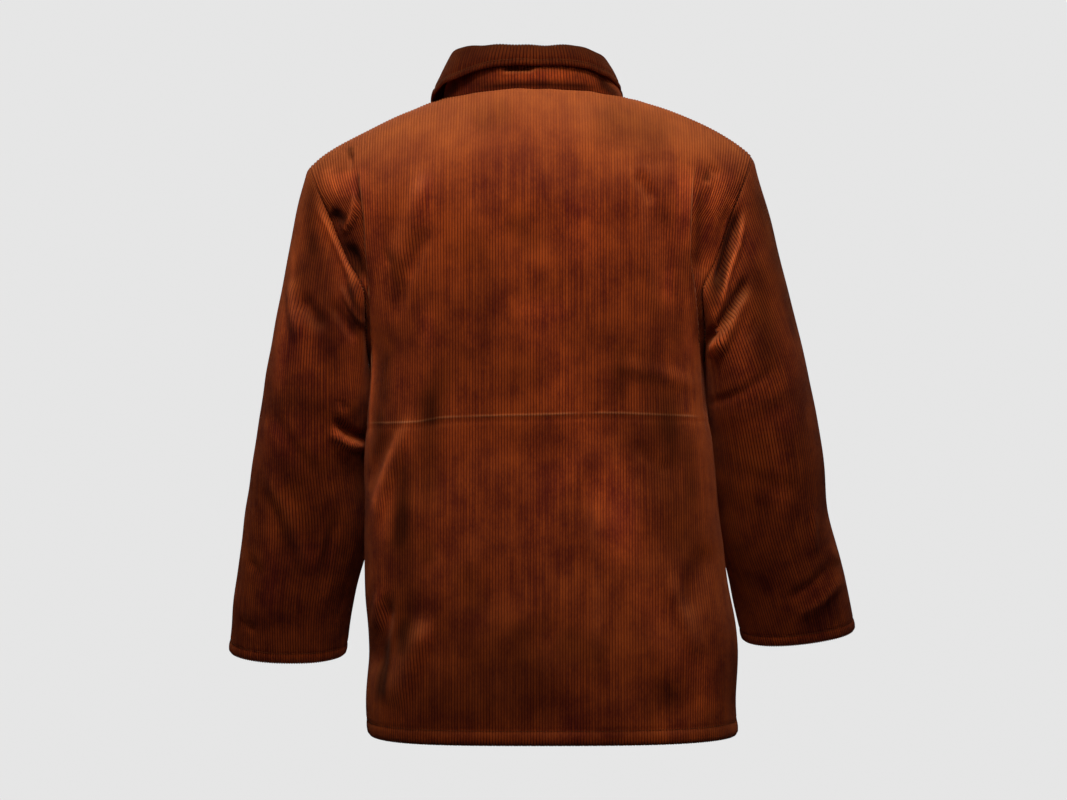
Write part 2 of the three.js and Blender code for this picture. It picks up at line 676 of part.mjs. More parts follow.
// The leaf starts on top of the stand, rolls over and falls to its free edge.
function leafGeometry(stations) {
  const folds = stations.map((station) => collarPoint(station, "fold"));
  const edges = stations.map((station) => collarPoint(station, "edge"));
  const outs = outwardDirections(folds);
  const seat = folds.map((p, j) =>
    moved(moved(p, outs[j], -COLLAR_WALL / 2), UP, 1.5 * SEAM_GAP),
  );
  const rows = ROLL_ANGLES.map((degrees) =>
    seat.map((p, j) => {
      const angle = THREE.MathUtils.degToRad(degrees);
      const over = moved(p, outs[j], ROLL_RADIUS * (1 - Math.cos(angle)));
      return moved(over, UP, ROLL_RADIUS * Math.sin(angle));
    }),
  );
  const rolled = rows[rows.length - 1];
  for (const t of LEAF_ROWS) {
    rows.push(rolled.map((p, j) => p.clone().lerp(edges[j], t)));
  }
  const centre = seat.map((p, j) => moved(p, outs[j], ROLL_RADIUS).addScaledVector(UP, -ROLL_DROP));
  const through = throughDirections(rows, (p, i, j) => p.clone().sub(centre[j]));
  outs.forEach((out, j) => {
    through[0][j] = out.clone();
  });
  const outer = innerGrid(rows, through, -COLLAR_WALL / 2);
  return wallGeometry(outer, innerGrid(rows, through, COLLAR_WALL / 2), { turned: () => true });
}

// ---- the buttons ------------------------------------------------------------------------
const wasm = await Module();
wasm.setup();

function toManifold(geometry) {
  const plain = geometry.clone();
  plain.deleteAttribute("normal");
  plain.deleteAttribute("uv");
  const merged = mergeVertices(plain, 1e-4);
  return new wasm.Manifold(
    new wasm.Mesh({
      numProp: 3,
      vertProperties: new Float32Array(merged.attributes.position.array),
      triVerts: new Uint32Array(merged.index.array),
    }),
  );
}

function fromManifold(solid) {
  const mesh = solid.getMesh();
  const geometry = new THREE.BufferGeometry();
  geometry.setAttribute("position", new THREE.Float32BufferAttribute(mesh.vertProperties, 3));
  geometry.setIndex([...mesh.triVerts]);
  geometry.computeVertexNormals();
  return geometry;
}

// A dished button with a raised rim and four holes, its axis along +Y.
function buttonGeometry() {
  const { radius, thick, hole } = BUTTON;
  const profile = BUTTON_PROFILE.map(([r, h]) => new THREE.Vector2(r * radius, h * thick));
  let solid = toManifold(new THREE.LatheGeometry(profile, 20));
  for (const [x, z] of [[1, 1], [1, -1], [-1, 1], [-1, -1]]) {
    const drill = new THREE.CylinderGeometry(hole, hole, 4 * thick, 6);
    drill.translate(x * BUTTON.holeApart, 0, z * BUTTON.holeApart);
    solid = solid.subtract(toManifold(drill));
  }
  return fromManifold(solid);
}

// ---- putting the jacket together ----------------------------------------------------------
const group = new THREE.Group();
group.name = "padded_jacket";

function addNode(name, geometry, finish) {
  const mesh = new THREE.Mesh(geometry, new THREE.MeshStandardMaterial(finish));
  mesh.name = name;
  group.add(mesh);
}

const halves = {};
for (const side of ["left", "right"]) {
  const past = [1, 0.5].map((part) => -shareOf(side, OVERLAP * part));
  const back = buildHalf("back", side);
  const front = buildHalf("front", side, past);
  if (side === "right") sinkUnderFront(front);
  const armhole = armholeFrames(back, front);
  const backNeck = neckFrames(back);
  const frontNeck = neckFrames(front);
  seatEdges(back, armhole, backNeck);
  seatEdges(front, armhole, frontNeck);
  halves[side] = { back, front, armhole, backNeck, frontNeck };
}

addNode("back", backGeometry(halves.right.back, halves.left.back), CORDUROY);
for (const side of ["left", "right"]) {
  const { front, armhole } = halves[side];
  const inner = innerGrid(front.outer, front.through, WALL);
  addNode(`front_${side}`, wallGeometry(front.outer, inner), CORDUROY);
  addNode(`sleeve_${side}`, sleeveGeometry(side, armhole), CORDUROY);
}
const stations = collarStations(halves);
addNode("collar_stand", standGeometry(stations), CORDUROY);
addNode("collar_leaf", leafGeometry(stations), CORDUROY);

const frontHalf = halfBody("front", "left");
for (let i = 0; i < BUTTON.count; i++) {
  const z = BUTTON.topZ - i * BUTTON.pitch;
  const y = frontSurface(z);
  const button = buttonGeometry();
  const rise = frontSurface(z + BUTTON.radius) - frontSurface(z - BUTTON.radius);
  button.rotateX(Math.PI - Math.atan2(rise, 2 * BUTTON.radius));
  button.translate(0, y - 2 * SEAM_GAP, z);
  addNode(`button_${i + 1}`, button, HORN);
}

// The outer face of the closed fronts on the centre line.
function frontSurface(z) {
  if (z <= CHEST_Z) return bodyPoint(frontHalf, 0, z).y;
  let low = 0;
  let high = 1;
  for (let i = 0; i < 20; i++) {
    const climb = (low + high) / 2;
    if (shoulderPoint(frontHalf, 0, climb).z < z) low = climb;
    else high = climb;
  }
  return shoulderPoint(frontHalf, 0, low).y;
}

export default group;
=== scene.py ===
"""Looks of a wide-wale corduroy jacket, filled out as it is worn, with nobody in it.

Metres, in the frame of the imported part: +Z up, the front faces -Y, the wearer's left is +X.
Every panel is built cord by cord on the same form as its solid, with the folds laid on it.
"""
import math
from collections import namedtuple

import bpy
import numpy as np
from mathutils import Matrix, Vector


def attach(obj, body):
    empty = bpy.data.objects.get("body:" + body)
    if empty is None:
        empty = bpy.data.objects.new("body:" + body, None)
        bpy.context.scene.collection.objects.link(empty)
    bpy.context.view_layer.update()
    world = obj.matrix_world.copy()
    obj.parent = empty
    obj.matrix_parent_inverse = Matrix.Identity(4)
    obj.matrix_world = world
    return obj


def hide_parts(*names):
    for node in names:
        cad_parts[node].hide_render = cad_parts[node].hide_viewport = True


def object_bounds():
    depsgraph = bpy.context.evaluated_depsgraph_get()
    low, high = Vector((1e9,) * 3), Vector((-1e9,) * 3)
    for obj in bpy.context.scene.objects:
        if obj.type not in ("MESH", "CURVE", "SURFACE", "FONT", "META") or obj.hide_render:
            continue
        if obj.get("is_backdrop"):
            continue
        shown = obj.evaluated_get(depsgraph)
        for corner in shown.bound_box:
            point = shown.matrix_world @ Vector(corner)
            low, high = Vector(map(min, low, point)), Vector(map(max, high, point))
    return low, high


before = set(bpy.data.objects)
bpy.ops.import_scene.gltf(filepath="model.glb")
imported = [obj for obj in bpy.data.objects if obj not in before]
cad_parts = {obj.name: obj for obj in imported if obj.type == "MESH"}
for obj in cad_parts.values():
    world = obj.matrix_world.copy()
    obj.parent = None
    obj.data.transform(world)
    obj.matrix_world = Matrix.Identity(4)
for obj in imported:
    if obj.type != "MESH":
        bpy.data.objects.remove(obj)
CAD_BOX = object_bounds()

# ---- sizes of the cloth -----------------------------------------------------------------
CORD = 0.003175  # pitch of the cords: eight to the inch
CORD_HIGH = 0.0010
CORD_SUNK = 0.7  # share of a cord's height that lies under the form
CORD_STEPS = (0.0, 0.3, 0.7)  # corners across one cord, the groove first
CORD_RISE = (0.0, 1.0, 1.0)
WALL = 0.004
COLLAR_WALL = 0.0032
LEAF_WALL = 0.0022
INNER_STEP = 9  # the inside of a wall has one column for so many on the outside
INNER_REACH = 12  # and goes in with the lowest place within so many columns
ALLOWANCE = 0.0030  # how far a sleeve runs on under the panels, past the armhole seam
SEAM_SINK = 0.0010  # how far the cloth dips into a seam
SEAM_WIDE = 0.005
SEAM_PRESS = 0.7  # how much of the cords' height a seam presses flat
MOST_PRESSED = 0.85
EDGE_ROUND = 0.42  # of the wall, how far a free edge is rounded off
EDGE_WEAR = 0.55
STITCH_DIP = 0.0007  # how far the cloth dips along a line of stitches
STITCH_DIP_WIDE = 0.0026
STITCH_PRESS = 0.4
BAND_SWELL = 0.0006  # how far the cloth stands out between the stitches and the edge
HEM_BAND = 0.016  # from the edge to the line of stitches
CUFF_BAND = 0.014
COLLAR_BAND = 0.0068
FRONT_BAND = 0.006
STITCH = 0.0037  # from one stitch to the next
STITCH_LONG = 0.0029
STITCH_THICK = 0.00042
STITCH_SIDES = 6
STITCH_AIM = 0.0015  # how far ahead and behind a stitch its line is followed
BUTTON_COUNT = 5
BUTTON_TOP_Z = -0.112
BUTTON_PITCH = 0.121
BUTTON_RADIUS = 0.011
BUTTON_THICK = 0.0034
BUTTON_HOLE = 0.0011
BUTTON_HOLE_APART = 0.0024  # from the middle, along and across
BUTTON_CORNERS = ((-1, -1), (-1, 1), (1, -1), (1, 1))
BUTTON_STAND = 0.0008  # from the cloth to the button's back
BUTTON_SIDES = 56
HOLE_SIDES = 20
DRILL_REACH = 0.01
# From the edge of its back over the rim to its middle: shares of its radius and thickness.
BUTTON_PROFILE = (
    (0.60, 0.00), (0.82, 0.02), (0.95, 0.22), (1.00, 0.46), (0.99, 0.70), (0.95, 0.90),
    (0.90, 0.99), (0.84, 1.00), (0.77, 0.92), (0.70, 0.78), (0.62, 0.70), (0.45, 0.65),
    (0.25, 0.62), (0.06, 0.61),
)
BUTTON_THREAD = 0.0003
BUTTON_THREAD_LONG = 3.1 * BUTTON_HOLE_APART
BUTTON_THREAD_LIFT = 0.66 * BUTTON_THICK
BUTTON_THREADS_APART = 0.00045
BUTTONHOLE = (-0.004, 0.019)  # from end to end, in x
BUTTONHOLE_HALF = 0.0013
BUTTONHOLE_BARS = 26
BUTTONHOLE_BAR = 0.0022
BUTTONHOLE_LIFT = 0.0002  # of its stitches over the cloth
LEAN_REACH = 0.008  # how far up and down the cloth is felt for a button's lean

# What each piece was cut to: its box, its area, and what is sewn on it.
CUT = {
    "back": ((0.63, 0.80), 0.422, ("hem_stitches",)),
    "front_left": ((0.31, 0.70), 0.188, ("front_stitches", "buttonholes", "button_threads")),
    "front_right": ((0.33, 0.70), 0.197, ()),
    "sleeve_left": ((0.45, 0.60), 0.202, ("cuff_stitches",)),
    "sleeve_right": ((0.45, 0.58), 0.196, ()),
    "collar_stand": ((0.53, 0.045), 0.021, ()),
    "collar_leaf": ((0.56, 0.075), 0.0335, ("collar_stitches",)),
}

# ---- colours and light ------------------------------------------------------------------
PILE_LIGHT = (0.46, 0.072, 0.010, 1.0)
PILE_DARK = (0.105, 0.0100, 0.0046, 1.0)
# the pale colour of worn pile, and of the highlight painted along a fold's crest
PILE_WEAR_AND_HIGHLIGHT = (0.62, 0.20, 0.065, 1.0)
# the dark ground between the cords: its weave's own colour, darkened with painted shade from the pile
GROUND_SHADED = (0.022, 0.0028, 0.0040, 1.0)
GROOVE_EDGE = (0.27, 0.47)  # where a cord turns to ground, in cords from its middle
GROOVE_LIFT = 0.55  # how much less of the ground's painted shade shows where the cloth leans up to the light
LIFT_LEAST = 0.35  # of its own lightness, the least and the most that the light painted by its lean makes the pile
LIFT_MOST = 1.9
TUFTS = 210.0  # tufts and fibres in a metre of cord
FIBRES = 1500.0
CREASE_WEAR = 14.0  # for each metre that a ridge stands out
CREASE_SHADE = 30.0  # how much lighter a ridge is painted, and darker a hollow, per metre: painted light and shade metres of ridge or hollow, past which its painted light and shade stays the same
MOST_SHADED = 0.006  # metres of ridge or hollow, past which the pile's look stays the same
# the least and the most painted light and shade, as shares of the pile's lightness
PAINTED_LIGHT_LEAST = -0.75
PAINTED_LIGHT_MOST = 1.0
PALE_SHARE = 0.7
EVEN_SHARE = 0.7  # how much evener the pile is painted where it leans up to the light how light it is painted there what the pile's colour is multiplied by where it leans up to the light: a painted orange highlight
EVEN_LIGHT = 0.44  # how light it is there
LEAN_HIGHLIGHT_TINT = (0.93, 1.5, 2.0)  # what the pile's colour is multiplied by where light rakes it
SHEEN = 0.14
SHEEN_TINT = (1.0, 0.42, 0.24, 1.0)
# How light each piece is painted, for the lie of its pile and the light that it gets; how much
# lighter it is painted where it leans up to the light, and darker where it leans down; and how
# much of the dark ground, with its painted shade, shows between its cords.
PIECE_PAINTED_LIGHT = {
    "back": (0.95, 0.9, 0.80),
    "front_left": (0.95, 0.9, 0.80),
    "front_right": (0.95, 0.9, 0.80),
    "sleeve_left": (1.02, 0.30, 0.92),
    "sleeve_right": (1.0, 0.25, 1.0),
    "collar_stand": (0.86, 0.5, 0.85),
    "collar_leaf": (0.42, -0.5, 0.9),
}
THREAD_DARK = (0.075, 0.017, 0.005, 1.0)
THREAD_LIGHT = (0.19, 0.052, 0.016, 1.0)
HORN_DARK = (0.014, 0.007, 0.004, 1.0)
HORN_LIGHT = (0.06, 0.028, 0.014, 1.0)
HORN_CLOUD = (0.16, 0.085, 0.045, 1.0)
BACKDROP = (0.79, 0.79, 0.79)
FILL = 0.034
FILL_TINT = (0.93, 1.1, 1.9, 1.0)
# Each light: its place, what it points at, its size, power and spread in degrees.
LIGHTS = (
    ("high", (0.0, 1.2, 1.2), (0.0, 0.1, -0.08), (0.8, 0.4), 2.0, 43.0),
    ("key", (0.05, 2.1, 0.75), (0.01, 0.1, -0.20), (0.7, 0.5), 0.33, 33.0),
    ("front", (0.3, -2.1, 0.8), (0.0, -0.1, -0.30), (0.9, 0.7), 1.3, 60.0),
)
EYE = (0.0, 3.0, -0.342)
LENS = 88.8
SENSOR = 36.0
FLOOR_Z = -1.0
FLOOR_RADIUS = 1.0
FLOOR_DARK = (0.70, 0.70, 0.70, 1.0)
FLOOR_LIGHT = (0.74, 0.74, 0.74, 1.0)
FLOOR_GLOW = 0.72  # how much of the backdrop's light the floor shows by itself

# ---- the cut ----------------------------------------------------------------------------
HEM_Z = -0.716
UNDERARM_Z = -0.298
BLADE_Z = -0.140
CHEST_Z = -0.190
NECK_X = 0.104
NECK_DEPTH = {"back": 0.075, "front": 0.060}
FRONT_SQUARE = 2.3
TIP_REACH = {"left": 0.257, "right": 0.250}
OVERLAP = 0.022
LAP_FADE = 0.060
LAP_ROOM = 0.0012  # between the two fronts where they lap
LAP_MARGIN = 0.004  # how much wider than the lap the lower front stays in
STRAIGHT = 0.190  # the cords run true this far from the middle
SECTION_POINTS = 321
PANEL_CORDS = 104  # the most on half the back, or on one front
LAP_CORDS = 7  # of a front past the middle
SLEEVE_CORDS = 134
COLLAR_CORDS = 166
# Turns that the cords have taken round each sleeve, by the foot of its cap and by its cuff.
SLEEVE_TWIST = {"left": (0.085, 0.16), "right": (-0.02, -0.06)}
# Rows of the panels, as (from, to, step) stretches of height, and then of the climb over
# the shoulder, as shares of the turn.
HEM_FINE_Z = HEM_Z + 0.022
HEM_STRETCH = (HEM_Z, HEM_FINE_Z, 0.0026)
BACK_STRETCHES = (
    HEM_STRETCH,
    (HEM_FINE_Z, -0.376, 0.0078),
    (-0.376, -0.350, 0.0011),
    (-0.350, BLADE_Z, 0.0056),
)
FRONT_STRETCHES = (HEM_STRETCH, (HEM_FINE_Z, CHEST_Z, 0.0082))
CLIMB_ROWS = {"back": 30, "front": 26}
LAST_CLIMBS = (0.94, 0.96, 0.975, 0.99, 1.0)
CAP_ROWS = np.linspace(0.0, 1.0, 41)[:-1] ** 1.15
SLEEVE_ROWS = np.concatenate([np.linspace(0.0, 3.72, 50), np.linspace(3.74, 4.0, 9)])
COLLAR_ROWS = np.concatenate([np.linspace(0.06, 0.80, 12), np.linspace(0.84, 1.0, 7)])


def table(columns, *rows):
    """A table with named columns, as one array for each column."""
    names = columns.split()
    return {name: np.array([row[i] for row in rows], float) for i, name in enumerate(names)}


BODY = table(
    "z left right back front square",
    (-0.716, 0.187, 0.231, 0.157, 0.140, 3.2),
    (-0.675, 0.189, 0.228, 0.155, 0.139, 3.2),
    (-0.620, 0.185, 0.231, 0.150, 0.137, 3.3),
    (-0.560, 0.190, 0.222, 0.143, 0.134, 3.4),
    (-0.480, 0.191, 0.211, 0.135, 0.130, 3.4),
    (-0.400, 0.191, 0.203, 0.130, 0.128, 3.2),
    (-0.340, 0.188, 0.197, 0.132, 0.128, 2.8),
    (-0.298, 0.188, 0.194, 0.136, 0.129, 2.6),
    (-0.260, 0.194, 0.198, 0.139, 0.128, 2.6),
    (-0.200, 0.215, 0.212, 0.142, 0.123, 2.6),
    (-0.140, 0.236, 0.229, 0.141, 0.114, 2.6),
)
ARMHOLE = table(
    "z back front",
    (-0.298, 0.000, 0.000),
    (-0.285, 0.028, 0.032),
    (-0.265, 0.048, 0.050),
    (-0.250, 0.062, 0.057),
    (-0.235, 0.073, 0.062),
    (-0.220, 0.080, 0.066),
    (-0.205, 0.076, 0.068),
    (-0.190, 0.068, 0.070),
    (-0.165, 0.062, 0.069),
    (-0.140, 0.058, 0.066),
)
SHOULDER = (
    (0.104, 0.000, 0.002),
    (0.155, -0.020, -0.013),
    (0.190, -0.036, -0.027),
    (0.220, -0.052, -0.043),
    (0.242, -0.066, -0.059),
    (0.257, -0.079, -0.075),
)
RIDGE = {
    "back": table(
        "x left right",
        (0.000, 0.0305, 0.0305),
        (0.020, 0.0300, 0.0300),
        (0.060, 0.0185, 0.0210),
        (0.080, 0.010, 0.012),
        *SHOULDER,
    ),
    "front": table(
        "x left right",
        (0.000, -0.051, -0.051),
        (0.040, -0.046, -0.046),
        (0.080, -0.022, -0.021),
        *SHOULDER,
    ),
}
SLEEVE = {
    "left": table(
        "x y z wide deep rise",
        (0.2462, -0.016, -0.335, 0.0612, 0.080, 0.014),
        (0.2570, -0.042, -0.404, 0.0650, 0.074, 0.005),
        (0.2625, -0.072, -0.484, 0.0745, 0.067, 0.003),
        (0.282, -0.103, -0.574, 0.070, 0.060, 0.002),
        (0.292, -0.126, -0.640, 0.069, 0.053, 0.002),
    ),
    "right": table(
        "x y z wide deep rise",
        (0.2555, -0.016, -0.330, 0.0585, 0.080, 0.018),
        (0.2670, -0.042, -0.400, 0.0650, 0.074, 0.010),
        (0.278, -0.072, -0.480, 0.066, 0.067, 0.007),
        (0.298, -0.100, -0.552, 0.067, 0.060, 0.007),
        (0.314, -0.124, -0.618, 0.067, 0.053, 0.007),
    ),
}
SLEEVE_TILT = 0.2
SLEEVE_SQUARE = 2.15
CAP_TOP = {"out": 0.28, "down": 0.96, "hold": 0.8}
CAP_UNDER = {"out": 0.6, "down": 0.9, "hold": 0.2}
CAP_SIDE = 0.12
CAP_AIM = 0.5  # how far down the tube the cap's lines are aimed, in rows of its table
CAP_ARRIVE = 0.85
CAP_TURN = 1.6  # how late on the way round the cap turns from its top's way to its foot's
COLLAR = table(
    "turn foldX foldY foldZ drop edgeX edgeY over",
    (0.00, 0.000, 0.0700, 0.046, 0.000, 0.000, 0.0775, 0.0268),
    (0.06, 0.017, 0.0693, 0.0463, 0.000, 0.020, 0.0768, 0.0274),
    (0.16, 0.045, 0.064, 0.047, 0.000, 0.053, 0.0715, 0.0290),
    (0.32, 0.076, 0.045, 0.047, 0.006, 0.091, 0.0515, 0.022),
    (0.50, 0.087, 0.008, 0.038, 0.003, 0.113, 0.004, 0.009),
    (0.66, 0.082, -0.024, 0.014, 0.000, 0.116, -0.046, 0.006),
    (0.82, 0.054, -0.046, -0.014, 0.000, 0.092, -0.084, 0.006),
    (1.00, 0.007, -0.057, -0.030, 0.000, 0.056, -0.103, 0.007),
)
COLLAR_WIDE = {"left": 1.0, "right": 0.87}
COLLAR_WAVES = ((0.0006, 0.23, 0.0), (0.0004, 0.61, 1.0))  # height, turn for a cord, start
COLLAR_EDGE_WAVES = 0.6  # how much of them the leaf's free edge has
STAND_BULGE = 0.0034
STAND_IN = 0.0008  # how far in and down from the neck seam the stand starts
STAND_DOWN = 0.0030
STAND_ROWS = 14
STAND_SINK = 0.0006  # how far it dips into the neck seam
STAND_BAND = 0.004
ROLL_RADIUS = 0.005  # of the leaf's roll over the fold, and how far round it goes
ROLL_TURN = 150.0
ROLL_ROWS = 12
LEAF_LIFT = 0.0006  # of the leaf over the stand's top
LEAF_SAG = 0.002
LEAF_MIDDLE = 0.014  # how far under its seat the middle of the leaf's curl lies

# ---- the folds --------------------------------------------------------------------------
# A crease runs along a path of (x, z) places as seen from behind or from the front. It is
# soft, as wide to each side as width, and stands out or sinks in by out.
Crease = namedtuple("Crease", "width out path")
TAPER = 0.3  # share of its path over which a crease comes up, and goes again
TAPER_START = 0.15
RUBBED_SHARE = 0.6  # of a ridge's width, how much is rubbed


def creases(*rows, sign=1):
    """Creases from rows of a width, an out and the places of a path."""
    return tuple(
        Crease(width, out, np.array(path) * (sign, 1)) for width, out, *path in rows
    )


BACK_CREASES = creases(
    (0.018, 0.0045, (0.118, -0.091), (0.140, -0.157), (0.157, -0.202)),
    (0.015, -0.0045, (0.114, -0.150), (0.130, -0.190), (0.143, -0.215), (0.153, -0.258)),
    (0.008, -0.0022, (0.162, -0.178), (0.158, -0.196)),
    (0.005, -0.0022, (0.204, -0.066), (0.203, -0.084)),
    (0.006, -0.0016, (-0.096, -0.085), (-0.124, -0.080), (-0.154, -0.079)),
    (0.006, -0.0020, (-0.192, -0.085), (-0.209, -0.091)),
    (0.011, -0.0045, (-0.110, -0.094), (-0.122, -0.108), (-0.131, -0.126)),
    (0.013, 0.0030, (-0.117, -0.120), (-0.124, -0.180), (-0.134, -0.255)),
    (0.012, -0.0028, (-0.140, -0.125), (-0.148, -0.190), (-0.152, -0.250)),
    (0.012, 0.0038, (0.137, -0.360), (0.150, -0.400), (0.172, -0.456), (0.178, -0.486)),
    (0.012, -0.0035, (0.158, -0.375), (0.170, -0.405), (0.184, -0.440)),
    (0.007, 0.0035, (0.171, -0.556), (0.176, -0.598)),
    (0.022, 0.0075, (0.116, -0.578), (0.139, -0.630), (0.155, -0.680)),
    (0.015, -0.0085, (0.160, -0.556), (0.168, -0.600), (0.174, -0.650)),
    (0.024, -0.0050, (-0.196, -0.500), (-0.178, -0.540), (-0.164, -0.580)),
    (0.016, 0.0034, (-0.149, -0.535), (-0.166, -0.580), (-0.182, -0.626)),
    (0.014, 0.0022, (-0.080, -0.300), (-0.130, -0.311), (-0.184, -0.327)),
    (0.008, -0.0026, (-0.106, -0.391), (-0.130, -0.407), (-0.156, -0.420)),
    (0.006, 0.0016, (-0.116, -0.399), (-0.150, -0.411)),
    (0.016, -0.0020, (0.040, -0.470), (0.046, -0.560), (0.040, -0.650)),
    (0.020, 0.0022, (-0.060, -0.450), (-0.070, -0.560), (-0.066, -0.660)),
)
# Where the back is painted lighter or darker, as painted light and shade: out is how much, by share.
BACK_PAINTED_LIGHT = creases(
    (0.013, 0.55, (-0.148, -0.195), (-0.146, -0.235)),
    (0.030, 0.15, (-0.010, -0.400), (-0.012, -0.520)),
    (0.016, 0.35, (0.118, -0.575), (0.116, -0.610)),
    (0.020, -0.22, (-0.030, -0.575), (0.030, -0.600)),
    (0.022, -0.32, (-0.152, -0.315), (-0.158, -0.425)),
    (0.018, -0.40, (-0.094, -0.275), (-0.096, -0.350)),
    (0.022, -0.30, (0.158, -0.335), (0.156, -0.440)),
    (0.020, -0.30, (-0.148, -0.640), (-0.155, -0.705)),
    (0.030, 0.18, (-0.035, -0.275), (-0.030, -0.345)),
    (0.013, -0.35, (0.116, -0.490), (0.114, -0.524)),
    (0.048, -0.42, (-0.085, -0.345), (-0.135, -0.400), (-0.160, -0.470), (-0.172, -0.545)),
    (0.034, 0.70, (-0.062, -0.415), (-0.090, -0.475), (-0.104, -0.530)),
    (0.028, 0.32, (-0.104, -0.530), (-0.132, -0.575), (-0.168, -0.650)),
    (0.030, -0.42, (0.142, -0.440), (0.140, -0.550), (0.143, -0.640)),
    (0.024, -0.35, (0.122, -0.325), (0.108, -0.375)),
    (0.070, -0.42, (0.165, -0.670), (0.020, -0.665), (-0.045, -0.620)),
    (0.050, 0.25, (-0.090, -0.690), (-0.175, -0.685)),
    (0.040, 0.28, (0.005, -0.235), (-0.030, -0.330), (-0.075, -0.410)),
    (0.032, 0.28, (-0.050, -0.115), (-0.058, -0.200)),
    (0.036, -0.25, (0.085, -0.140), (0.052, -0.200), (0.082, -0.330)),
    (0.020, 0.35, (0.118, -0.090), (0.122, -0.160)),
    (0.026, 0.30, (-0.147, -0.140), (-0.147, -0.250)),
    (0.020, 0.55, (0.179, -0.100), (0.177, -0.300)),
    (0.034, 0.85, (0.208, -0.085), (0.203, -0.120)),
    (0.012, -0.75, (0.229, -0.130), (0.204, -0.147)),
    (0.006, 0.90, (0.199, -0.118), (0.1985, -0.134), (0.2035, -0.147), (0.214, -0.155)),
    (0.013, -0.80, (0.211, -0.160), (0.201, -0.180), (0.193, -0.212)),
    (0.006, -0.60, (0.1945, -0.088), (0.1930, -0.125)),
    (0.007, -0.55, (0.206, -0.056), (0.203, -0.074)),
    (0.016, 0.55, (0.232, -0.078), (0.222, -0.115)),
    (0.024, 0.60, (-0.214, -0.085), (-0.206, -0.130)),
    (0.007, 0.75, (-0.228, -0.105), (-0.215, -0.145), (-0.204, -0.178)),
    (0.007, -0.50, (-0.182, -0.100), (-0.183, -0.150), (-0.184, -0.200)),
    (0.007, -0.60, (-0.188, -0.092), (-0.196, -0.098)),
    (0.022, 0.50, (0.166, -0.440), (0.164, -0.500)),
    (0.050, -0.30, (-0.060, -0.025), (-0.160, -0.060)),
    (0.030, -0.22, (0.070, -0.040), (0.020, -0.020)),
    (0.030, 0.25, (0.164, -0.570), (0.162, -0.600)),
    (0.008, 0.80, (0.145, -0.372), (0.1554, -0.398), (0.1656, -0.427), (0.1759, -0.456), (0.180, -0.483)),
    (0.012, -0.55, (0.172, -0.345), (0.172, -0.385), (0.178, -0.415)),
    (0.017, -0.55, (0.138, -0.395), (0.143, -0.450), (0.150, -0.515)),
    (0.005, 0.70, (0.178, -0.205), (0.1785, -0.250), (0.1795, -0.330), (0.184, -0.400)),
    (0.050, -0.30, (0.150, -0.560), (0.060, -0.610), (-0.020, -0.610)),
    (0.035, 0.35, (-0.130, -0.700), (-0.190, -0.690)),
    (0.024, 0.80, (-0.168, -0.080), (-0.172, -0.190)),
    (0.018, 0.80, (-0.201, -0.095), (-0.199, -0.205)),
    (0.018, 0.50, (0.168, -0.170), (0.163, -0.270)),
    (0.013, 0.55, (0.142, -0.170), (0.140, -0.215)),
    (0.016, 0.80, (-0.170, -0.215), (-0.174, -0.300)),
    (0.024, -0.42, (0.094, -0.280), (0.113, -0.360), (0.117, -0.480)),
    (0.016, -0.50, (0.163, -0.280), (0.167, -0.355)),
    (0.030, -0.42, (-0.116, -0.275), (-0.138, -0.345), (-0.152, -0.395)),
    (0.014, -0.32, (-0.173, -0.365), (-0.175, -0.465)),
    (0.026, 0.35, (-0.078, -0.390), (-0.099, -0.440), (-0.102, -0.505)),
    (0.022, 0.35, (-0.050, -0.395), (-0.024, -0.450)),
    (0.028, -0.30, (0.080, -0.515), (0.056, -0.580)),
    (0.014, 0.50, (0.166, -0.540), (0.166, -0.595)),
    (0.034, -0.35, (-0.020, -0.600), (-0.085, -0.625)),
    (0.026, 0.50, (-0.180, -0.615), (-0.192, -0.690)),
    (0.030, -0.35, (-0.115, -0.690), (-0.155, -0.650)),
    (0.012, 0.32, (0.120, -0.703), (-0.095, -0.703)),
    (0.014, -0.90, (0.163, -0.600), (0.167, -0.680)),
    (0.014, -0.40, (0.143, -0.580), (0.140, -0.625)),
    (0.026, -0.28, (0.030, -0.140), (-0.010, -0.180)),
    (0.020, 0.40, (0.030, -0.240), (-0.045, -0.244)),
    (0.013, 0.50, (0.116, -0.240), (0.117, -0.285)),
    (0.020, 0.30, (0.068, -0.240), (0.070, -0.290)),
)
WAVES = 7
PANEL_WAVER = 0.0016  # how uneven the panels and the sleeves are, apart from their creases
SLEEVE_WAVER = 0.0013
SLEEVE_SEED = {"left": 25, "right": 26}
PANEL_HOME = 0.012  # how far from a seam the creases reach their full depth
SLEEVE_HOME = 0.014
EDGE_HOME = 0.03  # and how far from a front's free edge
# The line where the back was pressed flat across its middle, as heights at places.
PRESSED = table(
    "x z",
    (-0.200, -0.361),
    (-0.156, -0.359),
    (-0.081, -0.356),
    (0.002, -0.358),
    (0.098, -0.361),
    (0.130, -0.366),
    (0.200, -0.368),
)
PRESSED_WIDE = 0.0019
PRESSED_HIGH = 0.0004
PRESSED_DIP = 0.0003  # just below the ridge
PRESSED_WEAR = 0.6
PRESSED_DIP_WIDE = 0.005
PRESSED_DIP_BELOW = 0.006
PRESSED_END = 0.188  # how far out it runs to each side
PRESSED_FADE = 0.02
PRESSED_FAINT = ((-0.055, 0.022, 0.75), (0.075, 0.02, 0.4))  # x, width, share that is lost
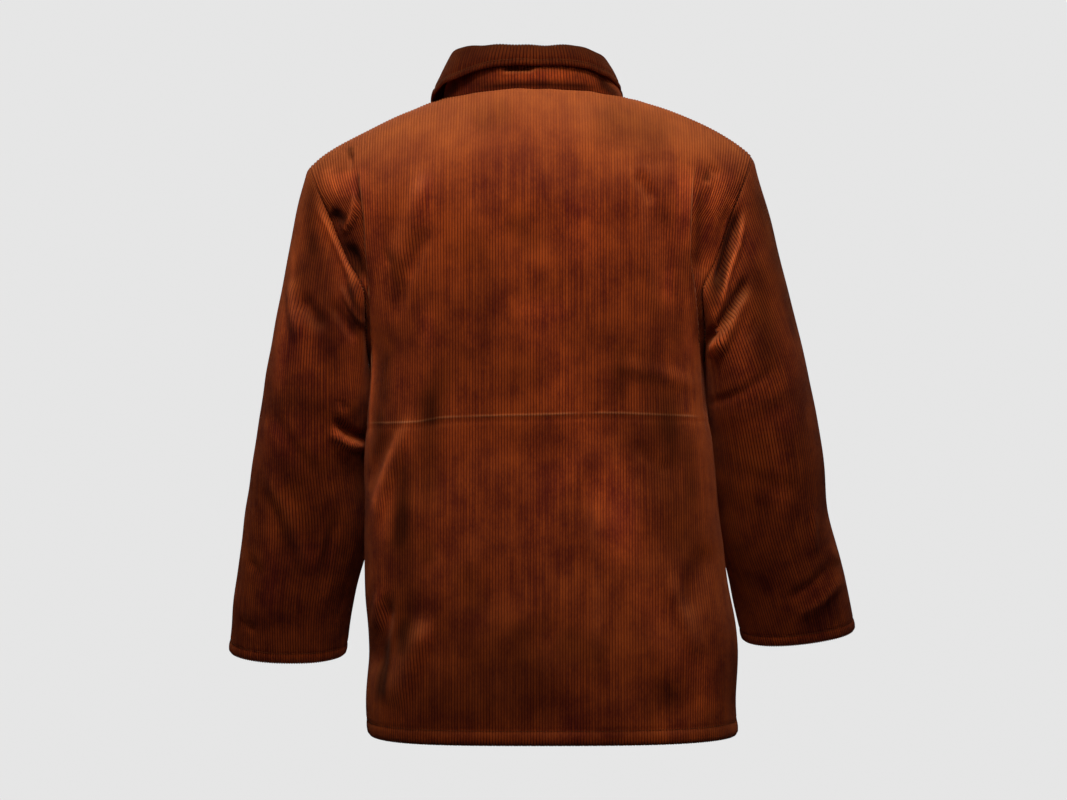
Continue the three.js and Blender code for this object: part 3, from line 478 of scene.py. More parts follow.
# The fold beside each armhole: how far out its crest hangs, how deep the hollow under it
# is, and how much cloth it takes up. The cloth turns in at the crest, goes back under it,
# and comes out again to the armhole seam.
DRAPE = table(
    "z left right deep taken_left taken_right",
    (-0.385, 0.186, 0.194, 0.000, 0.000, 0.000),
    (-0.355, 0.184, 0.191, 0.004, 0.010, 0.010),
    (-0.331, 0.182, 0.1885, 0.007, 0.024, 0.026),
    (-0.282, 0.182, 0.1865, 0.010, 0.042, 0.044),
    (-0.249, 0.1825, 0.183, 0.012, 0.044, 0.044),
    (-0.222, 0.184, 0.1795, 0.012, 0.040, 0.038),
    (-0.190, 0.1855, 0.1755, 0.012, 0.032, 0.030),
    (-0.155, 0.187, 0.174, 0.010, 0.020, 0.018),
    (-0.125, 0.189, 0.174, 0.007, 0.010, 0.008),
    (-0.100, 0.190, 0.175, 0.003, 0.003, 0.002),
    (-0.082, 0.190, 0.176, 0.000, 0.000, 0.000),
)
FOLD_ROUND = 0.0028
FOLD_LEAST = 0.001  # how deep a hollow has to be, for the inside of the wall to clear it
FOLD_FULL = 0.008  # how deep it has to be, for the highlight painted on its crest to show in full
FOLD_FADE = 0.008  # over what way across the crest the back's creases fade
POUCH_FADE = 0.010  # over what way past the hollow the creases by the armhole come in
FOLD_BLEND = 9  # places that a fold's turns are evened over
FOLD_SLACK = 0.9  # of the deepest hollow that its cloth could reach
FOLD_HIGHLIGHT_WIDE = 0.0034  # how wide the highlight painted on its crest is, and how far past the turn
FOLD_HIGHLIGHT_PAST = 0.0008
# how pale the highlight painted along a fold's crest is
FOLD_HIGHLIGHT = 0.7
FOLD_EASE = 0.03  # how far inside the hollow the inside of the wall starts to go in
PAST_SEAM = 0.05  # how far the way of the cloth is told past its seam
UNDER_MARGIN = 0.003  # how much deeper the inside of the wall lies behind a fold
POUCH_CREASES = creases(
    (0.0055, 0.0040, (0.197, -0.110), (0.1975, -0.132), (0.2035, -0.147), (0.214, -0.155)),
    (0.012, -0.0030, (0.224, -0.132), (0.214, -0.145)),
    (0.014, -0.0050, (0.205, -0.168), (0.197, -0.192), (0.190, -0.218)),
    (0.006, -0.0035, (0.1930, -0.088), (0.1915, -0.128)),
    (0.007, -0.0060, (-0.184, -0.088), (-0.196, -0.100)),
    (0.008, 0.0040, (-0.188, -0.100), (-0.196, -0.110)),
    (0.014, -0.0030, (-0.186, -0.120), (-0.184, -0.170), (-0.184, -0.210)),
)
STAND_CREASES = creases(
    (0.005, -0.0060, (0.036, 0.0265), (0.017, 0.0262), (-0.004, 0.0275)),
    (0.003, 0.0016, (0.044, 0.0270), (0.028, 0.0228), (0.015, 0.0220), (-0.012, 0.0275)),
)
# Where the stand and the sleeves are painted lighter or darker, as painted light and shade.
STAND_PAINTED_LIGHT = creases(
    (0.0045, -0.80, (0.034, 0.0268), (0.014, 0.0242), (-0.002, 0.0262)),
    (0.0065, -0.75, (0.078, 0.0060), (0.000, 0.0088), (-0.090, 0.0065)),
    (0.0110, -0.80, (0.106, -0.0040), (0.094, 0.0060), (0.082, 0.0160)),
    (0.0095, -0.80, (-0.070, 0.0200), (-0.084, 0.0090), (-0.098, -0.0020)),
    (0.0080, 0.50, (0.034, 0.0180), (-0.010, 0.0190), (-0.048, 0.0200)),
    (0.0120, -0.40, (0.088, 0.0150), (0.046, 0.0150)),
)
SLEEVE_PAINTED_LIGHT = {
    "left": creases(
        (0.016, -0.50, (0.251, -0.085), (0.249, -0.145), (0.245, -0.190)),
        (0.006, 0.45, (0.271, -0.165), (0.270, -0.210), (0.266, -0.260)),
        (0.020, -0.30, (0.262, -0.180), (0.258, -0.240)),
        (0.013, -0.60, (0.205, -0.208), (0.198, -0.236), (0.190, -0.264)),
        (0.004, 0.60, (0.240, -0.126), (0.221, -0.166), (0.205, -0.198), (0.195, -0.214)),
        (0.008, 0.70, (0.229, -0.380), (0.212, -0.393), (0.190, -0.398)),
        (0.007, -0.50, (0.222, -0.370), (0.198, -0.384)),
        (0.006, 0.50, (0.223, -0.338), (0.205, -0.346)),
        (0.038, 0.85, (0.325, -0.385), (0.260, -0.378), (0.185, -0.392)),
        (0.030, -0.50, (0.248, -0.150), (0.232, -0.240), (0.220, -0.330)),
        (0.014, 0.60, (0.280, -0.225), (0.286, -0.345)),
        (0.020, 0.45, (0.298, -0.430), (0.305, -0.600)),
        (0.016, 0.40, (0.290, -0.522), (0.235, -0.520)),
    ),
    "right": creases(
        (0.024, -0.55, (-0.243, -0.072), (-0.267, -0.140), (-0.290, -0.229), (-0.302, -0.290)),
        (0.018, -0.25, (-0.243, -0.110), (-0.250, -0.180)),
        (0.011, -0.75, (-0.232, -0.120), (-0.215, -0.163), (-0.208, -0.203), (-0.204, -0.228)),
        (0.014, -0.45, (-0.205, -0.200), (-0.197, -0.245)),
        (0.008, -0.75, (-0.238, -0.202), (-0.2133, -0.247), (-0.202, -0.262)),
        (0.011, 1.00, (-0.216, -0.268), (-0.194, -0.295), (-0.188, -0.330)),
        (0.032, -0.60, (-0.245, -0.165), (-0.256, -0.250), (-0.262, -0.330)),
        (0.028, 0.75, (-0.215, -0.370), (-0.302, -0.360)),
        (0.020, 0.40, (-0.275, -0.380), (-0.282, -0.480)),
        (0.0036, 1.1, (-0.2356, -0.133), (-0.2297, -0.166), (-0.2192, -0.195), (-0.2059, -0.240)),
    ),
}
SLEEVE_CREASES = {
    "left": creases(
        (0.007, 0.0036, (0.246, -0.118), (0.222, -0.165), (0.203, -0.205), (0.190, -0.258)),
        (0.011, 0.0050, (0.271, -0.205), (0.268, -0.240), (0.262, -0.275)),
        (0.013, -0.0065, (0.259, -0.226), (0.246, -0.246), (0.231, -0.262)),
        (0.006, 0.0040, (0.217, -0.214), (0.204, -0.236), (0.188, -0.262)),
        (0.009, -0.0050, (0.226, -0.232), (0.212, -0.252), (0.198, -0.276)),
        (0.009, 0.0060, (0.229, -0.378), (0.212, -0.391), (0.190, -0.397)),
        (0.008, -0.0060, (0.225, -0.364), (0.210, -0.378), (0.190, -0.387)),
        (0.007, -0.0025, (0.222, -0.343), (0.206, -0.352)),
        (0.014, -0.0018, (0.300, -0.350), (0.268, -0.400), (0.240, -0.430)),
        (0.016, 0.0040, (0.305, -0.420), (0.280, -0.470), (0.262, -0.540)),
        (0.010, -0.0035, (0.222, -0.470), (0.240, -0.530), (0.244, -0.575)),
        (0.008, -0.0032, (0.331, -0.524), (0.312, -0.546)),
        (0.007, -0.0024, (0.345, -0.598), (0.322, -0.611)),
    ),
    "right": creases(
        (0.010, -0.0105, (-0.229, -0.122), (-0.211, -0.174), (-0.204, -0.216)),
        (0.007, 0.0060, (-0.2356, -0.133), (-0.2297, -0.166), (-0.2192, -0.195), (-0.2059, -0.240)),
        (0.009, -0.0090, (-0.238, -0.204), (-0.224, -0.231), (-0.209, -0.256), (-0.192, -0.280)),
        (0.014, 0.0075, (-0.240, -0.218), (-0.221, -0.254), (-0.199, -0.296)),
        (0.006, -0.0025, (-0.251, -0.250), (-0.236, -0.275)),
        (0.009, -0.0024, (-0.196, -0.347), (-0.236, -0.332), (-0.278, -0.301)),
        (0.012, 0.0009, (-0.205, -0.366), (-0.245, -0.352), (-0.290, -0.324)),
        (0.016, -0.0014, (-0.230, -0.420), (-0.270, -0.440), (-0.310, -0.446)),
        (0.010, 0.0035, (-0.304, -0.594), (-0.332, -0.576), (-0.364, -0.547)),
        (0.009, -0.0030, (-0.290, -0.574), (-0.320, -0.556), (-0.350, -0.530)),
        (0.007, 0.0025, (-0.320, -0.466), (-0.324, -0.520)),
        (0.010, 0.0020, (-0.344, -0.515), (-0.354, -0.532)),
    ),
}
FRONT_CREASES = creases(
    (0.016, -0.0045, (0.205, -0.180), (0.160, -0.215), (0.110, -0.232)),
    (0.014, 0.0035, (0.200, -0.205), (0.150, -0.245), (0.095, -0.270)),
    (0.014, -0.0040, (-0.200, -0.175), (-0.150, -0.220), (-0.105, -0.252)),
    (0.014, 0.0035, (-0.198, -0.210), (-0.140, -0.250), (-0.090, -0.262)),
    (0.018, -0.0050, (0.120, -0.420), (0.100, -0.520), (0.112, -0.610)),
    (0.020, 0.0045, (0.086, -0.400), (0.070, -0.520), (0.076, -0.640)),
    (0.018, -0.0045, (-0.110, -0.380), (-0.128, -0.480), (-0.118, -0.590)),
    (0.020, 0.0050, (-0.150, -0.440), (-0.164, -0.540), (-0.150, -0.650)),
    (0.010, -0.0030, (0.030, -0.262), (0.062, -0.275)),
    (0.010, -0.0030, (0.028, -0.385), (0.070, -0.398)),
    (0.010, -0.0030, (-0.032, -0.320), (-0.070, -0.312)),
    (0.008, -0.0024, (0.100, -0.350), (0.150, -0.366)),
)
INNER_ELBOW_CREASES = {
    side: creases(
        (0.010, -0.0060, (0.225, -0.372), (0.262, -0.384), (0.305, -0.372)),
        (0.010, 0.0050, (0.222, -0.392), (0.262, -0.404), (0.310, -0.394)),
        (0.010, -0.0055, (0.220, -0.415), (0.260, -0.424), (0.300, -0.412)),
        (0.014, 0.0040, (0.230, -0.290), (0.262, -0.330), (0.300, -0.345)),
        (0.012, -0.0040, (0.240, -0.500), (0.280, -0.520), (0.322, -0.508)),
        (0.012, -0.0035, (0.250, -0.575), (0.292, -0.590), (0.330, -0.580)),
        sign=sign,
    )
    for side, sign in (("left", 1), ("right", -1))
}


# ---- small maths ------------------------------------------------------------------------
def mix(a, b, t):
    """From a to b, linearly."""
    return a + (b - a) * t


def smooth(t):
    """From 0 to 1 with level ends."""
    t = np.clip(t, 0.0, 1.0)
    return t * t * (3.0 - 2.0 * t)


def bump(t):
    """A smooth hump, 1 at 0 and none past 1 to either side."""
    return np.where(np.abs(t) < 1.0, 0.5 + 0.5 * np.cos(math.pi * np.clip(t, -1.0, 1.0)), 0.0)


def unit(v):
    """Vectors at a length of one."""
    return v / np.maximum(np.linalg.norm(v, axis=-1, keepdims=True), 1e-12)


def way_along(line):
    """The way along a line of points, from its first to each."""
    return np.concatenate([[0.0], np.cumsum(np.linalg.norm(np.diff(line, axis=0), axis=1))])


def points_at(line, way, at):
    """Points of a line at places on the way along it."""
    return np.stack([np.interp(at, way, line[:, k]) for k in range(3)], axis=-1)


def sign_of(side):
    """Which way along X a side is."""
    return 1.0 if side == "left" else -1.0


def read(rows, key, column, at):
    """Reads a named column at places along the key, by a smooth cubic."""
    keys = np.arange(len(rows[column]), dtype=float) if key is None else rows[key]
    values = rows[column]
    slopes = np.empty_like(values)
    slopes[1:-1] = (values[2:] - values[:-2]) / (keys[2:] - keys[:-2])
    slopes[0] = (values[1] - values[0]) / (keys[1] - keys[0])
    slopes[-1] = (values[-1] - values[-2]) / (keys[-1] - keys[-2])
    at = np.clip(np.asarray(at, float), keys[0], keys[-1])
    i = np.clip(np.searchsorted(keys, at, side="right") - 1, 0, len(keys) - 2)
    span = keys[i + 1] - keys[i]
    t = (at - keys[i]) / span
    bend = slopes[i] * t * (1 - t) ** 2 - slopes[i + 1] * t * t * (1 - t)
    return mix(values[i], values[i + 1], smooth(t)) + span * bend


def levels(stretches):
    """Heights from one end to the other of (from, to, step) stretches."""
    out = []
    for low, high, step in stretches:
        count = max(1, int(round((high - low) / step)))
        out.extend(np.linspace(low, high, count + 1)[:-1])
    out.append(stretches[-1][1])
    return np.array(out)


def climbs_over(face):
    """Shares of the turn over the shoulder, closer together by the neck."""
    even = np.linspace(0.0, LAST_CLIMBS[0], CLIMB_ROWS[face])[1:]
    return np.concatenate([even, LAST_CLIMBS[1:]])


def crease_field(creases, x, z):
    """What the creases add at places (x, z), and how much of it is ridge."""
    relief = np.zeros_like(x)
    ridge = np.zeros_like(x)
    for crease in creases:
        path = crease.path
        steps = np.linalg.norm(np.diff(path, axis=0), axis=1)
        total = steps.sum()
        near = np.full(x.shape, np.inf)
        place = np.zeros_like(x)
        start = 0.0
        for (ax, az), (bx, bz), step in zip(path[:-1], path[1:], steps):
            t = np.clip(((x - ax) * (bx - ax) + (z - az) * (bz - az)) / step**2, 0.0, 1.0)
            off = np.hypot(x - ax - t * (bx - ax), z - az - t * (bz - az))
            closer = off < near
            near = np.where(closer, off, near)
            place = np.where(closer, (start + t * step) / total, place)
            start += step
        taper = smooth(place / TAPER + TAPER_START)
        taper = taper * smooth((1.0 - place) / TAPER + TAPER_START)
        relief += crease.out * (bump(near / crease.width) * taper)
        ridge += max(crease.out, 0.0) * bump(near / (RUBBED_SHARE * crease.width)) * taper
    return relief, ridge


# ---- the body's form --------------------------------------------------------------------
def section_lines(face, side, z):
    """Half a section at each height: x, y and the way round, from the middle to the seam."""
    width = read(BODY, "z", side, z)
    depth = read(BODY, "z", face, z)
    seam = np.where(z > UNDERARM_Z, read(ARMHOLE, "z", face, z), 0.0)
    square = read(BODY, "z", "square", z) if face == "back" else np.full(len(z), FRONT_SQUARE)
    end = np.arccos(np.clip((seam / depth) ** (square / 2), 0.0, 1.0))
    angle = end[:, None] * np.linspace(0.0, 1.0, SECTION_POINTS)
    power = (2 / square)[:, None]
    x = width[:, None] * np.sin(angle) ** power
    y = depth[:, None] * np.maximum(np.cos(angle), 0.0) ** power
    step = np.hypot(np.diff(x, axis=1), np.diff(y, axis=1))
    arc = np.concatenate([np.zeros((len(z), 1)), np.cumsum(step, axis=1)], axis=1)
    return x, y, arc


def at_places(line, place, depth=0.0):
    """x and y at places along half sections, so far under them: a row of places for each."""
    x, y, arc = line
    run = np.gradient(x, axis=1), np.gradient(y, axis=1)
    long = np.hypot(*run)
    out = []
    for known in (x, y, -run[1] / long, run[0] / long):
        out.append(np.array([np.interp(place[i], arc[i], known[i]) for i in range(len(arc))]))
    return out[0] - depth * out[2], out[1] - depth * out[3]


def reach_under(room, length, depth):
    """How far back under its crest a fold goes, for its cloth to come out at the seam."""
    low, high = np.zeros_like(room), np.maximum(length, 0.0)
    for _ in range(40):
        middle = (low + high) / 2
        short = np.hypot(middle, depth) + np.hypot(room + middle, depth) < length
        low, high = np.where(short, middle, low), np.where(short, high, middle)
    return low


def fold_over(way, fold):
    """Where cords lie along each section and how far under it, with the fold's turns eased."""
    offsets = np.linspace(-1.0, 1.0, FOLD_BLEND + 2)[1:-1]
    weights = bump(offsets) / bump(offsets).sum()
    place = np.zeros_like(way)
    under = np.zeros_like(way)
    for i, (crest, run, length, back, depth, total) in enumerate(zip(*fold)):
        rest = max(length - run, 1e-6)
        knots = crest + np.array([-1.0, 0.0, run + 1e-6, length, length + PAST_SEAM])
        stretch = PAST_SEAM * (total - crest + back) / rest
        at = [crest - 1.0, crest, crest - back, total, total + stretch]
        down = [0.0, 0.0, depth, 0.0, -PAST_SEAM * depth / rest]
        for offset, weight in zip(offsets * FOLD_ROUND, weights):
            place[i] += weight * np.interp(way[i] + offset, knots, at)
            under[i] += weight * np.interp(way[i] + offset, knots, down)
    return place, under


def lay_cords(face, side, line, about, limit, cords):
    """Where cords lie round each section: out to the crest, back under it, out to the seam.

    Gives the surface and an unfolded line behind it as x and y, and the part each cord is in.
    """
    x, _, arc = line
    total = arc[:, -1]
    out_to = read(DRAPE, "z", side, about)
    crest = np.array([np.interp(out_to[i], x[i], arc[i]) for i in range(len(arc))])
    room = total - crest
    length = limit * CORD - crest
    deep = read(DRAPE, "z", "deep", about) * (1.0 if face == "back" else 0.0)
    depth = np.minimum(deep, FOLD_SLACK * np.sqrt(np.maximum(length**2 - room**2, 0.0)))
    back = reach_under(room, length, depth)
    run = np.hypot(back, depth)
    way = np.minimum(np.abs(cords)[None, :], limit[:, None]) * CORD
    place, under = fold_over(way, (crest, run, length, back, depth, total))

    even = way * (total / (limit * CORD))[:, None]
    hollow = (crest - back)[:, None]
    behind = np.where(
        even > hollow,
        (total[:, None] - even) / np.maximum(room + back, 1e-9)[:, None],
        smooth((even - hollow) / FOLD_EASE + 1.0),
    )
    behind *= (depth + UNDER_MARGIN * (depth > FOLD_LEAST))[:, None]
    folded = smooth(depth / FOLD_FULL)[:, None]
    past = way - crest[:, None]
    facts = {
        # edge is the fold's crest, where a pale highlight is painted
        "edge": folded * bump((past - FOLD_HIGHLIGHT_PAST) / FOLD_HIGHLIGHT_WIDE),
        "inside": 1.0 - folded * smooth(past / FOLD_FADE + 0.5),
        "pouch": folded * smooth((past - run[:, None]) / POUCH_FADE),
        "way": way,
    }
    return at_places(line, place, under), at_places(line, even, behind), facts


def neck_climb(face, reach, start_y):
    """How far up the shoulder's turn a column goes, as an angle."""
    neck_y = NECK_DEPTH[face] * np.sqrt(np.maximum(0.0, 1.0 - (reach / NECK_X) ** 2))
    climb = np.arccos(np.clip(neck_y / start_y, 0.0, 1.0))
    return np.where(reach >= NECK_X, math.pi / 2, climb)


def half_form(face, side, cords, heights, climbs):
    """The form of half the back or of one front: its points, the points of the unfolded
    line behind them, what lay_cords() says of them, and the cords there are at each row."""
    turn = BLADE_Z if face == "back" else CHEST_Z
    facing = 1.0 if face == "back" else -1.0
    own = np.where(cords < 0, -1.0, 1.0) * sign_of(side)

    def taken(z):
        return read(DRAPE, "z", f"taken_{side}", z) * (1.0 if face == "back" else 0.0)

    line = section_lines(face, side, heights)
    low_limit = (line[2][:, -1] + taken(heights)) / CORD
    surface, behind, low = lay_cords(face, side, line, heights, low_limit, cords)
    level = np.broadcast_to(heights[:, None], surface[0].shape)
    points = [np.stack([own * x, facing * y, level], axis=-1) for x, y in (surface, behind)]

    lift = np.sin(climbs * math.pi / 2)
    about = mix(turn, read(RIDGE[face], "x", side, STRAIGHT), lift)
    line = section_lines(face, side, np.full(len(climbs), turn))
    tip = TIP_REACH[side]
    limit = mix((line[2][:, -1] + taken(about)) / CORD, tip / CORD, lift)
    surface, behind, high = lay_cords(face, side, line, about, limit, cords)
    way = high["way"]
    squeeze = (tip - STRAIGHT) / (limit * CORD - STRAIGHT)
    reach = np.where(way < STRAIGHT, way, STRAIGHT + (way - STRAIGHT) * squeeze[:, None])
    ridge = read(RIDGE[face], "x", side, reach)
    out = []
    for below, (x, y) in zip(points, (surface, behind)):
        angle = climbs[:, None] * neck_climb(face, reach, np.maximum(y, 0.001))
        up = np.sin(angle)
        across = mix(x, reach, up)
        above = np.stack([own * across, facing * y * np.cos(angle), mix(turn, ridge, up)], axis=-1)
        out.append(np.concatenate([below, above]))
    facts = {key: np.concatenate([low[key], high[key]]) for key in low}
    return out[0], out[1], facts, np.concatenate([low_limit, limit])


def cloth_height(x, y):
    """The height of the cloth over places near the neck."""
    heights = []
    for px, py in zip(np.abs(x), y):
        face = "back" if py > 0 else "front"
        side = "left"
        turn = np.array([BLADE_Z if face == "back" else CHEST_Z])
        line = section_lines(face, side, turn)
        cords = np.linspace(0.0, 60.0, 241)
        sx, sy = at_places(line, (cords * CORD)[None, :])
        up = np.sin(np.arccos(np.clip(abs(py) / sy, 0.0, 1.0)))
        across = mix(sx, cords * CORD, up)
        ridge = read(RIDGE[face], "x", side, cords * CORD)
        heights.append(np.interp(px, across[0], mix(turn[0], ridge, up)[0]))
    return np.array(heights)


# ---- grids of cloth -----------------------------------------------------------------------
def grid_normals(grid, closed=False):
    """Unit normals of a grid of points, from the differences along and across it."""
    if closed:
        wide = np.concatenate([grid[:, -1:], grid, grid[:, :1]], axis=1)
        across = wide[:, 2:] - wide[:, :-2]
    else:
        across = np.gradient(grid, axis=1)
    crossed = np.cross(across, np.gradient(grid, axis=0))
    normals = unit(crossed)
    known = np.linalg.norm(crossed, axis=-1) > 1e-12
    for row in np.flatnonzero(~known.all(axis=1)):
        columns = np.flatnonzero(known[row])
        normals[row, : columns[0]] = normals[row, columns[0]]
        normals[row, columns[-1] + 1 :] = normals[row, columns[-1]]
    return normals


def outward(normals, hint):
    """The same normals, all turned to the side that most of the hint is on."""
    return normals if (normals * hint).sum() > 0 else -normals


def cord_columns(first, last):
    """Places of columns in cords, from one whole cord to another, and the rise of each."""
    whole = np.arange(first, last)
    places = (whole[:, None] + np.array(CORD_STEPS)).ravel()
    rises = np.tile(CORD_RISE, len(whole))
    return np.append(places, float(last)), np.append(rises, 0.0)


def run_along(points, axis):
    """The way along a grid from its first row, or its first column, to each point."""
    step = np.linalg.norm(np.diff(points, axis=axis), axis=-1)
    start = np.zeros_like(step[:1] if axis == 0 else step[:, :1])
    return np.concatenate([start, np.cumsum(step, axis=axis)], axis=axis)


class Cloth:
    """A grid of cloth: its form, and the folds, dips, wear and painted light and shade laid on it.

    under is the line that the inside of the wall follows, if that isn't the surface. ends are
    the first and last columns of each row that aren't past a seam.
    """

    def __init__(self, name, points, cords, rises, hint, closed=False, under=None, ends=None):
        self.name = name
        self.points = points
        self.cords = cords
        self.rises = rises
        self.closed = closed
        self.under = under
        self.ends = ends
        self.normals = outward(grid_normals(points, closed), hint)
        self.relief = np.zeros(points.shape[:2])
        self.wear_and_highlight = np.zeros(points.shape[:2])
        self.pressed = np.zeros(points.shape[:2])
        self.painted_light = np.zeros(points.shape[:2])
        down = run_along(points, 0)
        over = run_along(points, 1)
        self.from_first_row = down
        self.from_last_row = down[-1:] - down
        self.from_first_column = over
        self.from_last_column = over[:, -1:] - over

    def crease(self, creases, weight=1.0):
        """Lays creases in, with the wear that they bring, and light painted on their ridges and shade in
        their hollows.
        """
        relief, ridge = crease_field(creases, self.points[..., 0], self.points[..., 2])
        self.relief += relief * weight
        self.wear_and_highlight += CREASE_WEAR * ridge * weight
        shaded = np.clip(relief, -MOST_SHADED, MOST_SHADED)
        self.painted_light += CREASE_SHADE * shaded * weight

    def brush(self, patches):
        """Paints the pile lighter or darker along paths: painted light and shade."""
        self.painted_light += crease_field(patches, self.points[..., 0], self.points[..., 2])[0]

    def sew(self, distance, weight=1.0, sink=SEAM_SINK):
        """Dips the cloth into a seam."""
        self.relief -= sink * bump(distance / SEAM_WIDE) * weight
        self.pressed += SEAM_PRESS * bump(distance / (0.8 * SEAM_WIDE)) * weight

    def edge(self, distance, band, wall=WALL):
        """Rounds a free edge, wears it a little, and draws in the line of stitches above it."""
        self.relief -= EDGE_ROUND * wall * (1.0 - smooth(distance / (0.7 * wall))) ** 2
        self.wear_and_highlight += EDGE_WEAR * bump(distance / (0.8 * wall))
        line = bump((distance - band) / STITCH_DIP_WIDE)
        swell = bump((distance - 0.5 * band) / (0.5 * band))
        self.relief += BAND_SWELL * swell - STITCH_DIP * line
        self.pressed += STITCH_PRESS * line

    def inside(self, surface, normals, wall):
        """The inside of the wall, below the surface or behind the line under its folds."""
        if self.under is None:
            return surface - normals * wall
        facing = outward(grid_normals(self.under), self.normals)
        wide = np.pad(self.relief, ((0, 0), (INNER_REACH, INNER_REACH)), mode="edge")
        windows = np.lib.stride_tricks.sliding_window_view(wide, 2 * INNER_REACH + 1, axis=1)
        return self.under + facing * (windows.min(axis=-1) - wall)[..., None]

    def build(self, wall):
        """The mesh object: the form with its relief, and the cords standing on it."""
        self.formed = self.points + self.normals * self.relief[..., None]
        self.formed_normals = outward(grid_normals(self.formed, self.closed), self.normals)
        standing = 1.0 - np.clip(self.pressed, 0.0, MOST_PRESSED)
        height = CORD_HIGH * (self.rises[None, :] - CORD_SUNK) * standing
        surface = self.formed + self.formed_normals * height[..., None]
        inner = self.inside(surface, self.formed_normals, wall)
        # the wear with the highlight painted on fold crests, and the painted light and shade
        looks = {
            "wear_and_highlight": np.clip(self.wear_and_highlight, 0.0, 1.0),
            "painted_light": np.clip(self.painted_light, PAINTED_LIGHT_LEAST, PAINTED_LIGHT_MOST),
        }
        grid = WallGrid(surface, inner, self.ends, self.closed)
        lengths = run_along(self.formed, 0)
        return wall_object(self.name, grid, -self.formed_normals, self.cords, lengths, looks)


# ---- the panels ---------------------------------------------------------------------------
def body_hint(points, climbing):
    """Roughly which way is out of the body at each point, from the row where it climbs."""
    lift = np.where(np.arange(len(points)) >= climbing, 0.16, 0.0)
    hint = points * np.array([1.0, 1.6, 0.0])
    hint[..., 2] = lift[:, None]
    return hint


def press_line(cloth):
    """The line across the back where it lay folded: a low ridge, rubbed pale."""
    x, z = cloth.points[..., 0], cloth.points[..., 2]
    above = z - read(PRESSED, "x", "z", x)
    faint = np.ones_like(x)
    for place, width, share in PRESSED_FAINT:
        faint -= share * bump((x - place) / width)
    amount = bump(above / PRESSED_WIDE) * smooth((PRESSED_END - np.abs(x)) / PRESSED_FADE) * faint
    cloth.relief += PRESSED_HIGH * amount
    cloth.wear_and_highlight += PRESSED_WEAR * amount
    cloth.relief -= PRESSED_DIP * bump((above + PRESSED_DIP_BELOW) / PRESSED_DIP_WIDE)


def waver(x, z, size, seed):
    """A slow unevenness of the cloth, from a few crossing waves."""
    random = np.random.default_rng(seed)
    total = np.zeros_like(x)
    for _ in range(WAVES):
        angle = random.uniform(0.0, math.pi)
        pitch = size * random.uniform(0.6, 1.6)
        phase = random.uniform(0.0, 2 * math.pi)
        total += np.sin((x * math.cos(angle) + z * math.sin(angle)) * 2 * math.pi / pitch + phase)
    return total / WAVES


def last_column(cords, limit):
    """The first column of each row that has reached the seam."""
    return np.minimum(np.searchsorted(cords, limit), len(cords) - 1)


def make_back():
    """The back, from its two halves: the right one is turned round and put before the left."""
    heights = levels(BACK_STRETCHES)
    climbs = climbs_over("back")
    cords, rises = cord_columns(0, PANEL_CORDS)
    left, right = (half_form("back", side, cords, heights, climbs) for side in ("left", "right"))

    def joined(a, b):
        return np.concatenate([a[:, :0:-1], b], axis=1)

    points, under = joined(right[0], left[0]), joined(right[1], left[1])
    facts = {key: joined(right[2][key], left[2][key]) for key in left[2]}
    middle = len(cords) - 1
    ends = (middle - last_column(cords, right[3]), middle + last_column(cords, left[3]))
    both = np.concatenate([-cords[:0:-1], cords])
    rises = np.concatenate([rises[:0:-1], rises])
    signed = facts["way"] / CORD * np.sign(both)
    hint = body_hint(points, len(heights))
    cloth = Cloth("back_cloth", points, signed, rises, hint, under=under, ends=ends)
    seam = np.minimum(cloth.from_first_column, cloth.from_last_column)
    home = smooth(seam / PANEL_HOME)
    # a pale highlight painted along the fold's crest
    cloth.wear_and_highlight += FOLD_HIGHLIGHT * facts["edge"]
    cloth.crease(BACK_CREASES, facts["inside"] * home)
    cloth.crease(POUCH_CREASES, facts["pouch"] * home)
    x, z = cloth.points[..., 0], cloth.points[..., 2]
    cloth.relief += PANEL_WAVER * waver(x, z, size=0.11, seed=5) * home
    cloth.brush(BACK_PAINTED_LIGHT)
    press_line(cloth)
    cloth.sew(seam)
    cloth.sew(cloth.from_last_row)
    cloth.edge(cloth.from_first_row, HEM_BAND)
    return cloth


def make_front(side):
    """A front. The right one goes in under the left where they lap."""
    heights = levels(FRONT_STRETCHES)
    cords, rises = cord_columns(-LAP_CORDS, PANEL_CORDS)
    form = half_form("front", side, cords, heights, climbs_over("front"))
    points, under, facts, limit = form
    ends = (np.zeros(len(points), int), last_column(cords, limit))
    signed = facts["way"] / CORD * np.sign(cords)
    hint = body_hint(points, len(heights))
    cloth = Cloth(f"front_{side}_cloth", points, signed, rises, hint, under=under, ends=ends)
    home = smooth(cloth.from_last_column / PANEL_HOME)
    home = home * smooth(cloth.from_first_column / EDGE_HOME)
    cloth.crease(FRONT_CREASES, home)
    x, z = cloth.points[..., 0], cloth.points[..., 2]
    cloth.relief += PANEL_WAVER * waver(x, z, size=0.12, seed=9) * home
    if side == "right":
        past = (-x - OVERLAP - LAP_MARGIN) / (LAP_FADE - OVERLAP)
        cloth.relief -= (WALL + LAP_ROOM) * (1.0 - smooth(past))
    cloth.sew(cloth.from_last_column)
    cloth.sew(cloth.from_last_row)
    cloth.edge(cloth.from_first_row, HEM_BAND)
    cloth.edge(cloth.from_first_column, FRONT_BAND)
    return cloth


